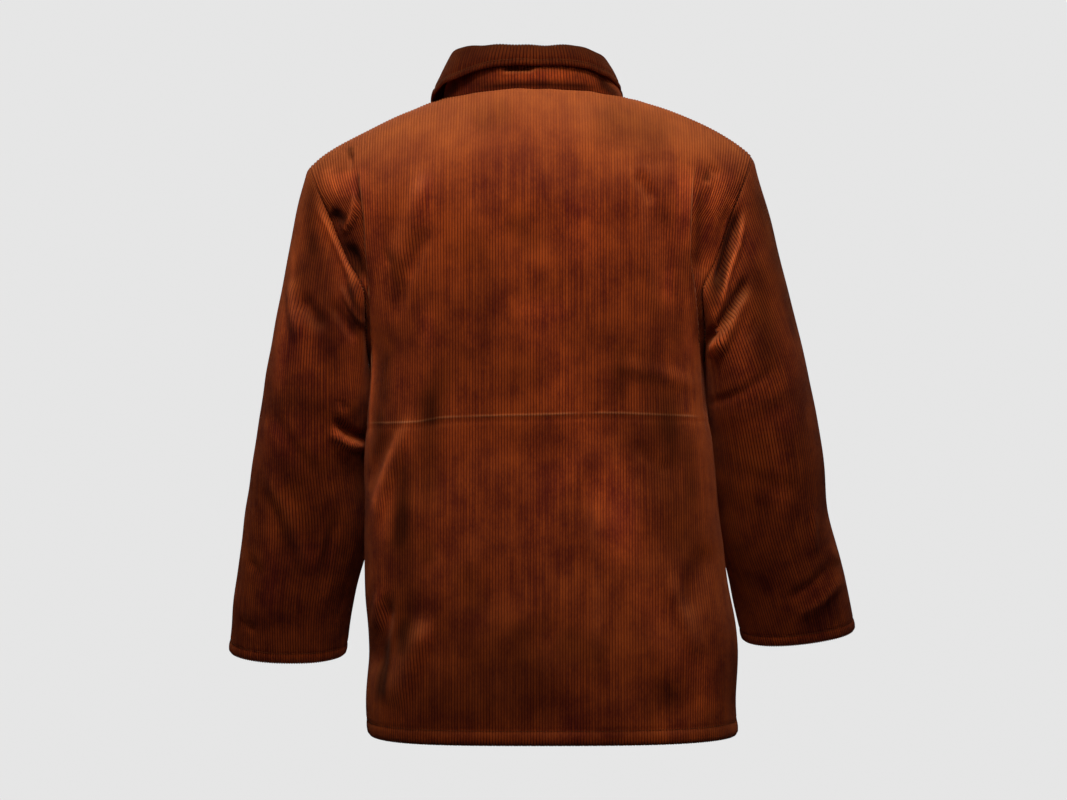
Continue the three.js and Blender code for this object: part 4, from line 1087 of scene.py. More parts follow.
# ---- the sleeves --------------------------------------------------------------------------
def armhole_loop(back, front, side):
    """The armhole seam: its points from the shoulder tip down the back and up the front, and
    the share of the way round at each, with the underarm at one half."""
    back_edge = back.points[:, -1 if side == "left" else 0]
    front_edge = front.points[:, -1]
    lowest = UNDERARM_Z - 1e-6
    behind = back_edge[np.searchsorted(back_edge[:, 2], lowest) :][::-1]
    before = front_edge[np.searchsorted(front_edge[:, 2], lowest) :]
    out = []
    shares = []
    for line, start in ((behind, 0.0), (before, 0.5)):
        way = way_along(line)
        out.append(line)
        shares.append(start + 0.5 * way / way[-1])
    return np.concatenate(out), np.concatenate(shares)


def round_power(t, square):
    """A sine or cosine, drawn out towards a squarer section."""
    return np.sign(t) * np.abs(t) ** (2 / square)


def sleeve_ring(side, step, phi):
    """A section of a sleeve: phi is 0 at the outer edge, and a quarter turn at the back."""
    index = np.array([step])

    def at(column):
        return read(SLEEVE[side], None, column, index)[0]

    out = round_power(np.cos(phi), SLEEVE_SQUARE)
    behind = round_power(np.sin(phi), SLEEVE_SQUARE)
    x = sign_of(side) * (at("x") + at("wide") * out)
    y = at("y") + at("deep") * behind
    z = at("z") + at("rise") * out - SLEEVE_TILT * at("deep") * behind
    return np.stack([x, y, z], axis=-1)


def sleeve_section(side, step, shares):
    """Points of a section at shares of the way round it, with the inner edge at one half."""
    phi = np.linspace(0.0, 2 * math.pi, 721)
    ring = sleeve_ring(side, step, phi)
    way = way_along(ring)
    half = len(phi) // 2
    outer = 0.5 * way[:half] / way[half]
    inner = 0.5 + 0.5 * (way[half:] - way[half]) / (way[-1] - way[half])
    at = np.interp(np.mod(shares, 1.0), np.concatenate([outer, inner]), phi)
    return sleeve_ring(side, step, at)


def tucked_under(seam, leave):
    """From the armhole seam to the edge of the sleeve's seam allowance, inside the body."""
    round_it = unit(np.roll(seam, -1, axis=0) - np.roll(seam, 1, axis=0))
    inward = unit(np.cross(leave, round_it))
    inward *= np.sign((inward * (seam.mean(axis=0) - seam)).sum())
    return ALLOWANCE * (inward - leave)


def cap_directions(side, shares):
    """Which way the cap leaves the armhole seam, all round: over at the top, down below."""
    under = (1.0 - np.cos(2 * math.pi * shares)) / 2
    turned = under**CAP_TURN
    across = sign_of(side) * mix(CAP_TOP["out"], CAP_UNDER["out"], turned)
    behind = CAP_SIDE * np.sin(2 * math.pi * shares)
    down = -mix(CAP_TOP["down"], CAP_UNDER["down"], turned)
    return unit(np.stack([across, behind, down], axis=-1)), under


def sleeve_points(side, shares, seam):
    """Rings of a sleeve: its seam allowance, its cap from the armhole seam, and its tube."""
    top_turn, cuff_turn = SLEEVE_TWIST[side]
    last = len(SLEEVE[side]["x"]) - 1

    def ring(step):
        turn = mix(top_turn, cuff_turn, step / last)
        return sleeve_section(side, step, shares + turn)

    leave, under = cap_directions(side, shares)
    first = ring(0.0)
    chord = np.linalg.norm(first - seam, axis=1, keepdims=True)
    hold = mix(CAP_TOP["hold"], CAP_UNDER["hold"], under)[:, None] * chord
    arrive = unit(ring(CAP_AIM) - first) * CAP_ARRIVE * chord
    rows = [seam + tucked_under(seam, leave)]
    for t in CAP_ROWS:
        bend = leave * hold * t * (1 - t) ** 2 - arrive * t * t * (1 - t)
        rows.append(mix(seam, first, smooth(t)) + bend)
    rows += [ring(step) for step in SLEEVE_ROWS]
    return np.array(rows)


def make_sleeve(side, back, front):
    """A sleeve from the armhole seam down, with its creases behind and inside the elbow."""
    cords, rises = cord_columns(0, SLEEVE_CORDS)
    cords, rises = cords[:-1], rises[:-1]
    shares = cords / SLEEVE_CORDS
    loop, known = armhole_loop(back, front, side)
    points = sleeve_points(side, shares, points_at(loop, known, shares))
    hint = points - points.mean(axis=1, keepdims=True)
    cloth = Cloth(f"sleeve_{side}_cloth", points, cords, rises, hint, closed=True)
    from_seam = cloth.from_first_row - cloth.from_first_row[1]
    home = smooth(from_seam / SLEEVE_HOME)
    behind = smooth((cloth.normals[..., 1] + 0.15) / 0.5)
    cloth.crease(SLEEVE_CREASES[side], home * behind)
    cloth.crease(INNER_ELBOW_CREASES[side], home * (1.0 - behind))
    cloth.brush(SLEEVE_PAINTED_LIGHT[side])
    x, y, z = np.moveaxis(cloth.points, -1, 0)
    cloth.relief += SLEEVE_WAVER * waver(x + y, z, size=0.09, seed=SLEEVE_SEED[side]) * home
    cloth.sew(from_seam)
    cloth.edge(cloth.from_last_row, CUFF_BAND)
    return cloth


# ---- the collar ---------------------------------------------------------------------------
def neck_line(back, fronts, side, turns):
    """The neck seam on one side at turns from the middle of the back to the front."""
    middle = PANEL_CORDS * len(CORD_STEPS)
    top = back.points[-1]
    half = top[middle:] if side == "left" else top[: middle + 1][::-1]
    behind = half[np.abs(half[:, 0]) <= NECK_X]
    edge = fronts[side].points[-1][LAP_CORDS * len(CORD_STEPS) :]
    off = np.abs(edge[:, 0])
    before = edge[(off < NECK_X - 0.001) & (off > 0.004)][::-1]
    line = np.concatenate([behind, before])
    way = way_along(line)
    return points_at(line, way, turns * way[-1])


CollarLines = namedtuple("CollarLines", "cords rises foot fold edge out")


def collar_lines(back, fronts):
    """The lines of the collar: its seam, fold and free edge, and the level way out of it."""
    cords, rises = cord_columns(-COLLAR_CORDS // 2, COLLAR_CORDS // 2)
    turns = np.abs(cords) / (COLLAR_CORDS / 2)
    signs = np.where(cords < 0, -1.0, 1.0)
    foot = np.where(
        (cords < 0)[:, None],
        neck_line(back, fronts, "right", turns),
        neck_line(back, fronts, "left", turns),
    )

    def at(column):
        return read(COLLAR, "turn", column, turns)

    wave = sum(high * np.sin(cords * turn + start) for high, turn, start in COLLAR_WAVES)
    wide = signs * np.where(cords < 0, COLLAR_WIDE["right"], COLLAR_WIDE["left"])
    fold_z = at("foldZ") - np.where(cords < 0, at("drop"), 0.0) + wave * (1.0 - turns)
    fold = np.stack([wide * at("foldX"), at("foldY"), fold_z], axis=-1)
    edge_x = wide * at("edgeX")
    edge_z = cloth_height(edge_x, at("edgeY")) + at("over")
    edge = np.stack([edge_x, at("edgeY"), edge_z + COLLAR_EDGE_WAVES * wave], axis=-1)
    run = np.gradient(fold, axis=0)
    level = unit(np.stack([run[:, 1], -run[:, 0], np.zeros(len(run))], axis=-1))
    hint = fold + np.array([0.0, 0.010, 0.0])
    out = outward(level, hint * np.array([1.0, 1.0, 0.0]))
    return CollarLines(cords, rises, foot, fold, edge, out)


def make_stand(lines):
    """The stand, from just inside the neck seam up to the fold."""
    foot = lines.foot - lines.out * STAND_IN + np.array([0.0, 0.0, -STAND_DOWN])
    rows = []
    for t in np.linspace(0.0, 1.0, STAND_ROWS):
        bulge = STAND_BULGE * math.sin(math.pi * t)
        rows.append(mix(foot, lines.fold, t) + lines.out * bulge)
    points = np.array(rows)
    hint = np.broadcast_to(lines.out, points.shape)
    cloth = Cloth("collar_stand_cloth", points, lines.cords, lines.rises, hint)
    cloth.crease(STAND_CREASES)
    cloth.brush(STAND_PAINTED_LIGHT)
    cloth.sew(cloth.from_first_row, sink=STAND_SINK)
    ends = np.minimum(cloth.from_first_column, cloth.from_last_column)
    cloth.edge(ends, STAND_BAND, COLLAR_WALL)
    return cloth


def make_leaf(lines):
    """The leaf: rolled over the fold, and down to its free edge."""
    up = np.array([0.0, 0.0, 1.0])
    seat = lines.fold - lines.out * LEAF_WALL / 2 + up * LEAF_LIFT
    rows = []
    for degrees in np.linspace(0.0, ROLL_TURN, ROLL_ROWS):
        angle = math.radians(degrees)
        over = lines.out * ROLL_RADIUS * (1 - math.cos(angle))
        rows.append(seat + (over + up * ROLL_RADIUS * math.sin(angle)))
    rolled = rows[-1]
    for t in COLLAR_ROWS:
        rows.append(mix(rolled, lines.edge, t) + lines.out * LEAF_SAG * math.sin(math.pi * t))
    points = np.array(rows)
    centre = seat + lines.out * ROLL_RADIUS - up * LEAF_MIDDLE
    cloth = Cloth("collar_leaf_cloth", points, lines.cords, lines.rises, points - centre)
    cloth.relief += LEAF_WALL / 2
    ends = np.minimum(cloth.from_first_column, cloth.from_last_column)
    cloth.edge(cloth.from_last_row, COLLAR_BAND, LEAF_WALL)
    cloth.edge(ends, COLLAR_BAND, LEAF_WALL)
    return cloth


# ---- meshes -------------------------------------------------------------------------------
def link_mesh(name, points, faces):
    """A smooth mesh object in the scene."""
    mesh = bpy.data.meshes.new(name)
    mesh.from_pydata(np.asarray(points).tolist(), [], faces)
    mesh.polygons.foreach_set("use_smooth", np.ones(len(mesh.polygons), bool))
    mesh.update()
    obj = bpy.data.objects.new(name, mesh)
    bpy.context.scene.collection.objects.link(obj)
    return obj


class WallGrid:
    """The points of a wall of cloth: a fine outside, a coarser inside, and faces for both.

    Columns past the ends of a row are the same point as the column at its end.
    """

    def __init__(self, outer, inner, ends, closed):
        self.closed = closed
        self.rows, self.columns = outer.shape[:2]
        keep = np.arange(0, self.columns, INNER_STEP)
        spare = self.columns - 1 - keep[-1]
        if not closed and spare > 0:
            keep = np.append(keep[:-1] if spare < len(CORD_STEPS) else keep, self.columns - 1)
        self.keep = keep
        if ends is None:
            ends = (np.zeros(self.rows, int), np.full(self.rows, self.columns - 1))
        self.first, self.last = ends
        self.inner_first = np.maximum(np.searchsorted(keep, self.first, side="right") - 1, 0)
        self.inner_last = np.searchsorted(keep, self.last)
        self.outer = outer
        self.inner = inner[:, keep]

    def outside(self, i, j):
        return i * self.columns + np.clip(j % self.columns, self.first[i], self.last[i])

    def inside(self, i, j):
        j = np.clip(j % len(self.keep), self.inner_first[i], self.inner_last[i])
        return self.rows * self.columns + i * len(self.keep) + j

    def quads(self, index, count):
        """Faces between neighbouring rows and columns."""
        i, j = np.meshgrid(np.arange(self.rows - 1), np.arange(count), indexing="ij")
        i, j = i.ravel(), j.ravel()
        corners = [index(i, j), index(i, j + 1), index(i + 1, j + 1), index(i + 1, j)]
        return np.stack(corners, axis=1).tolist()

    def rim(self, row):
        """Faces that close the wall along its first or last row."""
        stops = np.append(self.keep, self.columns) if self.closed else self.keep
        for j in range(len(stops) - 1):
            fine = [self.outside(row, c) for c in range(stops[j], stops[j + 1] + 1)]
            yield fine[::-1] + [self.inside(row, j), self.inside(row, j + 1)]

    def side(self, column, inner_column):
        """Faces that close the wall along its first or last column."""
        for i in range(self.rows - 1):
            yield [
                self.outside(i, column),
                self.outside(i + 1, column),
                self.inside(i + 1, inner_column),
                self.inside(i, inner_column),
            ]

    def faces(self):
        wrap = 0 if self.closed else 1
        faces = self.quads(self.outside, self.columns - wrap)
        faces += [face[::-1] for face in self.quads(self.inside, len(self.keep) - wrap)]
        faces += list(self.rim(0))
        faces += [face[::-1] for face in self.rim(self.rows - 1)]
        if not self.closed:
            faces += list(self.side(0, 0))
            faces += [face[::-1] for face in self.side(self.columns - 1, len(self.keep) - 1)]
        shorter = (list(dict.fromkeys(int(corner) for corner in face)) for face in faces)
        return [face for face in shorter if len(face) > 2]


def wall_object(name, grid, inward, cords, lengths, looks):
    """A closed wall of cloth as a mesh, with its cords and lengths, and looks by name."""
    faces = grid.faces()
    if faces_inward(grid.outer, inward, grid.closed):
        faces = [face[::-1] for face in faces]
    used = np.unique(np.concatenate([np.array(face) for face in faces]))
    place = np.zeros(grid.rows * (grid.columns + len(grid.keep)), int)
    place[used] = np.arange(len(used))
    points = np.concatenate([grid.outer.reshape(-1, 3), grid.inner.reshape(-1, 3)])
    obj = link_mesh(name, points[used], [place[face].tolist() for face in faces])
    cords = np.broadcast_to(cords, grid.outer.shape[:2])
    u = np.concatenate([cords.ravel(), cords[:, grid.keep].ravel()])
    v = np.concatenate([lengths.ravel(), lengths[:, grid.keep].ravel()])
    write_cords(obj.data, u[used], v[used], grid.closed)
    for look, values in looks.items():
        values = np.concatenate([values.ravel(), np.zeros(grid.rows * len(grid.keep))])
        attribute = obj.data.attributes.new(look, "FLOAT", "POINT")
        attribute.data.foreach_set("value", values[used].astype(np.float32))
    return obj


def faces_inward(outer, inward, closed):
    """True where quads in row and column order would face into the cloth."""
    return (grid_normals(outer, closed) * inward).sum() > 0


def write_cords(mesh, u, v, closed):
    """Writes the cord and the length along it at each corner of a mesh."""
    corner = np.empty(len(mesh.loops), np.int32)
    mesh.loops.foreach_get("vertex_index", corner)
    across = u[corner]
    if closed:
        totals = np.empty(len(mesh.polygons), np.int32)
        mesh.polygons.foreach_get("loop_total", totals)
        face = np.repeat(np.arange(len(totals)), totals)
        highest = np.zeros(len(totals))
        np.maximum.at(highest, face, across)
        wraps = (across < SLEEVE_CORDS / 2) & (highest[face] > SLEEVE_CORDS * 0.75)
        across = across + np.where(wraps, SLEEVE_CORDS, 0.0)
    layer = mesh.uv_layers.new(name="cords")
    layer.data.foreach_set("uv", np.stack([across, v[corner]], axis=1).ravel().astype(np.float32))


# ---- stitches -----------------------------------------------------------------------------
def line_where(cloth, distance, level, axis):
    """The line on a grid of cloth where a distance reaches a level: points and normals."""
    points, normals = cloth.formed, cloth.formed_normals
    if axis == 1:
        points, normals, distance = points.swapaxes(0, 1), normals.swapaxes(0, 1), distance.T
    if distance[0, 0] > distance[-1, 0]:
        points, normals, distance = points[::-1], normals[::-1], distance[::-1]
    near = min(len(points), int(np.argmax(distance.min(axis=1) > level)) + 2)

    def at_level(grid):
        found = np.empty(grid.shape[1:])
        for j, k in np.ndindex(found.shape):
            found[j, k] = np.interp(level, distance[:near, j], grid[:near, j, k])
        return found

    return at_level(points), unit(at_level(normals))


def even_places(points, normals, pitch, closed=False):
    """Places at an even pitch along a line: points, the way along, and normals."""
    if closed:
        points = np.concatenate([points, points[:1]])
        normals = np.concatenate([normals, normals[:1]])
    way = way_along(points)
    count = int(way[-1] / pitch)
    at = (np.arange(count) + 0.5) * way[-1] / count
    ahead = points_at(points, way, at + STITCH_AIM) - points_at(points, way, at - STITCH_AIM)
    return points_at(points, way, at), unit(ahead), unit(points_at(normals, way, at))


def stitch_rows(name, rows, length=STITCH_LONG, thick=STITCH_THICK):
    """Short arched threads at given places, joined into one mesh."""
    rings = np.array([-0.5, -0.36, 0.0, 0.36, 0.5])
    rise = np.array([-0.00045, 0.00012, 0.00030, 0.00012, -0.00045])
    girth = np.array([0.35, 0.9, 1.0, 0.9, 0.35]) * thick
    angles = np.arange(STITCH_SIDES) * 2 * math.pi / STITCH_SIDES
    points = []
    for centre, ahead, normal in rows:
        across = unit(np.cross(ahead, normal))
        axis = centre[:, None] + ahead[:, None] * (rings * length)[None, :, None]
        axis = axis + normal[:, None] * rise[None, :, None]
        spoke = across[:, None] * np.cos(angles)[None, :, None]
        spoke = spoke + normal[:, None] * np.sin(angles)[None, :, None]
        points.append(axis[:, :, None] + spoke[:, None] * girth[None, :, None, None])
    points = np.concatenate(points)
    per = len(rings) * len(angles)
    faces = []
    for start in range(0, len(points) * per, per):
        for ring in range(start, start + per - STITCH_SIDES, STITCH_SIDES):
            for k in range(STITCH_SIDES):
                a = ring + k
                b = ring + (k + 1) % STITCH_SIDES
                faces.append([a, a + STITCH_SIDES, b + STITCH_SIDES, b])
        faces.append(list(range(start, start + STITCH_SIDES)))
        faces.append(list(range(start + per - 1, start + per - 1 - STITCH_SIDES, -1)))
    return link_mesh(name, points.reshape(-1, 3), faces)


# ---- buttons ------------------------------------------------------------------------------
def lathe(profile, count):
    """Points and faces of a profile of (radius, height) turned round +Z, closed at both ends."""
    angles = np.arange(count) * 2 * math.pi / count
    points = [(r * math.cos(a), r * math.sin(a), h) for r, h in profile for a in angles]
    faces = []
    for i in range(len(profile) - 1):
        for k in range(count):
            a = i * count + k
            b = i * count + (k + 1) % count
            faces.append([a, b, b + count, a + count])
    faces.append(list(range(count))[::-1])
    faces.append([(len(profile) - 1) * count + k for k in range(count)])
    return points, faces


def make_button(name, centre, tilt):
    """A dished horn button with four holes, sewn on with a cross of thread on each pair."""
    profile = [(r * BUTTON_RADIUS, h * BUTTON_THICK) for r, h in BUTTON_PROFILE]
    button = link_mesh(name, *lathe(profile, BUTTON_SIDES))
    points, faces = lathe([(BUTTON_HOLE, -DRILL_REACH), (BUTTON_HOLE, DRILL_REACH)], HOLE_SIDES)
    drills = []
    for sx, sy in BUTTON_CORNERS:
        place = np.array([sx, sy, 0.0]) * BUTTON_HOLE_APART
        drills.append(link_mesh(f"{name}_drill", np.array(points) + place, faces))
    for drill in drills:
        cut = button.modifiers.new("hole", "BOOLEAN")
        cut.object = drill
        cut.solver = "EXACT"
    graph = bpy.context.evaluated_depsgraph_get()
    mesh = bpy.data.meshes.new_from_object(button.evaluated_get(graph))
    button.modifiers.clear()
    button.data = mesh
    for drill in drills:
        bpy.data.objects.remove(drill)
    mesh.polygons.foreach_set("use_smooth", np.ones(len(mesh.polygons), bool))
    mesh.set_sharp_from_angle(angle=math.radians(38))
    turn = np.array(
        [
            [1.0, 0.0, 0.0],
            [0.0, math.sin(tilt), -math.cos(tilt)],
            [0.0, math.cos(tilt), math.sin(tilt)],
        ]
    )
    points = np.empty(len(mesh.vertices) * 3)
    mesh.vertices.foreach_get("co", points)
    placed = points.reshape(-1, 3) @ turn.T + centre
    mesh.vertices.foreach_set("co", placed.ravel())
    mesh.update()
    return button, turn


def button_threads(places):
    """The threads that hold the buttons: two crossed bundles through the holes of each."""
    rows = []
    for centre, turn in places:
        for ends in (((-1, -1), (1, 1)), ((-1, 1), (1, -1))):
            a, b = (np.array([x, y, 0.0]) * BUTTON_HOLE_APART for x, y in ends)
            along = unit(b - a)
            side = np.array([-along[1], along[0], 0.0])
            for offset in (-BUTTON_THREADS_APART, 0.0, BUTTON_THREADS_APART):
                middle = side * offset + np.array([0.0, 0.0, BUTTON_THREAD_LIFT])
                rows.append((middle @ turn.T + centre, along @ turn.T, turn[:, 2]))
    places = tuple(np.array(values) for values in zip(*rows))
    return stitch_rows("button_threads", [places], BUTTON_THREAD_LONG, BUTTON_THREAD)


def buttonhole_rows(cloth, z):
    """Bar stitches round a level buttonhole in the left front: places for stitch_rows."""
    x, level = cloth.formed[..., 0], cloth.formed[..., 2]
    rows = []
    for k in range(BUTTONHOLE_BARS):
        px = mix(*BUTTONHOLE, k / (BUTTONHOLE_BARS - 1))
        for pz in (z - BUTTONHOLE_HALF, z + BUTTONHOLE_HALF):
            near = np.argmin(np.hypot(x - px, level - pz))
            i, j = np.unravel_index(near, x.shape)
            normal = cloth.formed_normals[i, j]
            point = np.array([px, cloth.formed[i, j, 1], pz]) + normal * BUTTONHOLE_LIFT
            rows.append((point, np.array([0.0, 0.0, 1.0]), normal))
    return tuple(np.array(values) for values in zip(*rows))


# ---- materials ----------------------------------------------------------------------------
class Nodes:
    """A short way to write a material's nodes."""

    def __init__(self, name):
        self.material = bpy.data.materials.new(name)
        self.material.use_nodes = True
        self.tree = self.material.node_tree
        self.shader = self.tree.nodes["Principled BSDF"]

    def put(self, kind, inputs=(), **settings):
        node = self.tree.nodes.new(kind)
        for key, value in settings.items():
            setattr(node, key, value)
        for key, value in dict(inputs).items():
            self.feed(node.inputs[key], value)
        return node

    def feed(self, socket, value):
        if isinstance(value, bpy.types.NodeSocket):
            self.tree.links.new(value, socket)
        else:
            socket.default_value = value

    def math(self, operation, a, b=0.0, clamp=False):
        node = self.put("ShaderNodeMath", {0: a, 1: b}, operation=operation, use_clamp=clamp)
        return node.outputs[0]

    def times(self, a, b):
        return self.math("MULTIPLY", a, b)

    def plus(self, a, b):
        return self.math("ADD", a, b)

    def minus(self, a, b):
        return self.math("SUBTRACT", a, b)

    def vector(self, x, y, z):
        return self.put("ShaderNodeCombineXYZ", {0: x, 1: y, 2: z}).outputs[0]

    def mapped(self, vector, scale, turn=(0.0, 0.0, 0.0)):
        inputs = {"Vector": vector, "Scale": scale, "Rotation": turn}
        return self.put("ShaderNodeMapping", inputs).outputs[0]

    def multiplied(self, a, b):
        node = self.put("ShaderNodeVectorMath", {0: a, 1: b}, operation="MULTIPLY")
        return node.outputs[0]

    def remap(self, value, low, high, out_low=0.0, out_high=1.0, soft=True):
        names = ("Value", "From Min", "From Max", "To Min", "To Max")
        inputs = dict(zip(names, (value, low, high, out_low, out_high)))
        kind = "SMOOTHSTEP" if soft else "LINEAR"
        return self.put("ShaderNodeMapRange", inputs, interpolation_type=kind).outputs["Result"]

    def blend(self, amount, a, b):
        node = self.put("ShaderNodeMix", {0: amount}, data_type="RGBA")
        self.feed(node.inputs[6], a)
        self.feed(node.inputs[7], b)
        return node.outputs[2]

    def scaled(self, color, factor):
        node = self.put("ShaderNodeVectorMath", {0: color}, operation="SCALE")
        self.feed(node.inputs["Scale"], factor)
        return node.outputs[0]

    def noise(self, vector, scale=1.0, detail=2.0, rough=0.5):
        inputs = {"Vector": vector, "Scale": scale, "Detail": detail, "Roughness": rough}
        return self.put("ShaderNodeTexNoise", inputs).outputs["Fac"]

    def bump(self, height, strength, distance):
        inputs = {"Height": height, "Strength": strength, "Distance": distance}
        normal = self.put("ShaderNodeBump", inputs).outputs["Normal"]
        self.feed(self.shader.inputs["Normal"], normal)

    def place(self):
        return self.put("ShaderNodeTexCoord").outputs["Object"]

    def attribute(self, name):
        return self.put("ShaderNodeAttribute", attribute_name=name).outputs["Fac"]

    def finish(self, color, roughness, **plain):
        self.feed(self.shader.inputs["Base Color"], color)
        self.feed(self.shader.inputs["Roughness"], roughness)
        for key, value in plain.items():
            self.shader.inputs[key.replace("_", " ")].default_value = value
        return self.material


def pile_noises(n, seed):
    """The unevenness of the pile: its tufts, their fibres, and how light it lies at large."""
    uv = n.put("ShaderNodeUVMap", uv_map="cords").outputs["UV"]
    split = n.put("ShaderNodeSeparateXYZ", {0: uv})
    u, v = split.outputs["X"], split.outputs["Y"]
    place = n.place()
    tuft = n.noise(n.vector(n.times(u, 1.7), n.times(v, TUFTS), seed), 1.0, 3.0, 0.6)
    fibre = n.noise(n.vector(n.times(u, 6.0), n.times(v, FIBRES), seed), 1.0, 2.0, 0.6)
    cord = n.noise(n.vector(n.math("FLOOR", u), n.times(v, 9.0), seed))
    nap = n.noise(place, 7.0, 3.0, 0.55)
    patch = n.noise(place, 38.0)
    streak = n.noise(n.mapped(place, (21.0, 21.0, 8.0), (0.0, 0.5, 0.0)))
    light = n.times(tuft, 0.75)
    for part, share in ((fibre, 0.45), (cord, 0.75), (nap, 0.95), (patch, 0.85), (streak, 0.6)):
        light = n.plus(light, n.times(part, share))
    return u, tuft, fibre, n.remap(light, 1.62, 2.78)


def corduroy_material(name, seed, shade, lean_light, ground_shade):
    """Cotton corduroy: pile standing in cords, crushed in places, with dark ground between.

    shade is how light the piece is painted, for the lie of its pile and the light that it gets.
    lean_light is how much lighter its pile is painted where the cloth leans up to the light,
    and darker where it leans down: the pile lies one way along each piece. ground_shade is
    how much of the ground, with its painted shade, shows between the cords.
    """
    n = Nodes(name)
    u, tuft, fibre, light = pile_noises(n, seed)
    # painted light: how far the surface leans up to the light above sets how light the pile is painted
    normal = n.put("ShaderNodeNewGeometry").outputs["Normal"]
    lean = n.put("ShaderNodeSeparateXYZ", {0: normal}).outputs["Z"]
    raked = n.math("MULTIPLY", lean, 1.4, clamp=True)

    even = n.times(raked, EVEN_SHARE)
    light = n.plus(n.times(light, n.minus(1.0, even)), n.times(even, EVEN_LIGHT))
    pile = n.blend(light, PILE_DARK, PILE_LIGHT)
    # paler where the pile is worn, and where a highlight is painted on fold crests
    pile = n.blend(n.times(n.attribute("wear_and_highlight"), PALE_SHARE), pile, PILE_WEAR_AND_HIGHLIGHT)

    across = n.math("ABSOLUTE", n.minus(n.math("FRACT", u), 0.5))
    edge = n.plus(across, n.times(n.minus(tuft, 0.5), 0.14))
    groove = n.remap(edge, *GROOVE_EDGE)
    # painted shade of the pile on the ground between the cords, less where it leans up
    ground = n.minus(ground_shade, n.times(raked, GROOVE_LIFT))
    color = n.blend(n.times(groove, ground), pile, GROUND_SHADED)

    # painted light and shade: lighter where the cloth leans up, darker where it leans down
    lift = n.plus(n.times(lean, lean_light), 1.0)
    lift = n.math("MAXIMUM", n.math("MINIMUM", lift, LIFT_MOST), LIFT_LEAST)
    # painted light and shade from the creases and the patches
    lift = n.times(lift, n.plus(n.attribute("painted_light"), 1.0))
    color = n.scaled(color, n.times(lift, shade))
    color = n.blend(raked, color, n.multiplied(color, LEAN_HIGHLIGHT_TINT))

    n.bump(n.plus(n.times(tuft, 0.6), n.times(fibre, 0.4)), 0.55, 0.0006)
    return n.finish(
        color,
        n.remap(tuft, 0.3, 0.7, 0.86, 0.98, soft=False),
        Sheen_Weight=SHEEN,
        Sheen_Roughness=0.45,
        Sheen_Tint=SHEEN_TINT,
        Specular_IOR_Level=0.04,
    )


def thread_material():
    """Spun sewing thread, with its twist."""
    n = Nodes("sewing_thread")
    inputs = {"Vector": n.place(), "Scale": 900.0, "Distortion": 2.0, "Detail": 1.0}
    twist = n.put("ShaderNodeTexWave", inputs).outputs["Fac"]
    n.bump(twist, 0.4, 0.0002)
    color = n.blend(twist, THREAD_DARK, THREAD_LIGHT)
    return n.finish(color, n.remap(twist, 0.0, 1.0, 0.8, 0.95), Specular_IOR_Level=0.04)


def horn_material():
    """Dark horn, clouded and streaked along its grain, rubbed to a soft shine."""
    n = Nodes("horn")
    place = n.place()
    grain = n.noise(n.mapped(place, (60.0, 60.0, 420.0)), 1.0, 4.0, 0.6)
    cloud = n.noise(place, 90.0, 3.0)
    body = n.blend(n.remap(grain, 0.35, 0.65), HORN_DARK, HORN_LIGHT)
    color = n.blend(n.times(n.remap(cloud, 0.45, 0.7), 0.5), body, HORN_CLOUD)
    n.bump(n.plus(n.times(grain, 0.7), n.times(cloud, 0.3)), 0.15, 0.0002)
    rough = n.remap(cloud, 0.3, 0.7, 0.28, 0.42)
    return n.finish(color, rough, Coat_Weight=0.25, Coat_Roughness=0.2)


# ---- camera, light and floor --------------------------------------------------------------
def make_camera():
    """Level, and straight behind the jacket."""
    data = bpy.data.cameras.new("camera")
    data.sensor_width = SENSOR
    data.lens = LENS
    data.dof.use_dof = False
    camera = bpy.data.objects.new("camera", data)
    camera.location = EYE
    camera.rotation_euler = (math.pi / 2, 0.0, math.pi)
    bpy.context.scene.collection.objects.link(camera)
    bpy.context.scene.camera = camera


def make_light(name, place, target, size, power, spread):
    """A soft panel of light, turned to its target."""
    data = bpy.data.lights.new(name, "AREA")
    data.shape = "RECTANGLE"
    data.size, data.size_y = size
    data.energy = power
    data.spread = math.radians(spread)
    light = bpy.data.objects.new(name, data)
    light.location = place
    light.rotation_euler = (Vector(target) - Vector(place)).to_track_quat("-Z", "Y").to_euler()
    bpy.context.scene.collection.objects.link(light)


def make_world():
    """A pale studio all round, that lights the jacket less than it shows."""
    world = bpy.data.worlds.new("studio")
    bpy.context.scene.world = world
    world.use_nodes = True
    nodes, links = world.node_tree.nodes, world.node_tree.links
    seen = nodes["Background"]
    seen.inputs["Color"].default_value = (*BACKDROP, 1.0)
    cast = nodes.new("ShaderNodeBackground")
    cast.inputs["Color"].default_value = FILL_TINT
    cast.inputs["Strength"].default_value = FILL
    path = nodes.new("ShaderNodeLightPath")
    choose = nodes.new("ShaderNodeMixShader")
    links.new(path.outputs["Is Camera Ray"], choose.inputs["Fac"])
    links.new(cast.outputs[0], choose.inputs[1])
    links.new(seen.outputs[0], choose.inputs[2])
    links.new(choose.outputs[0], nodes["World Output"].inputs["Surface"])


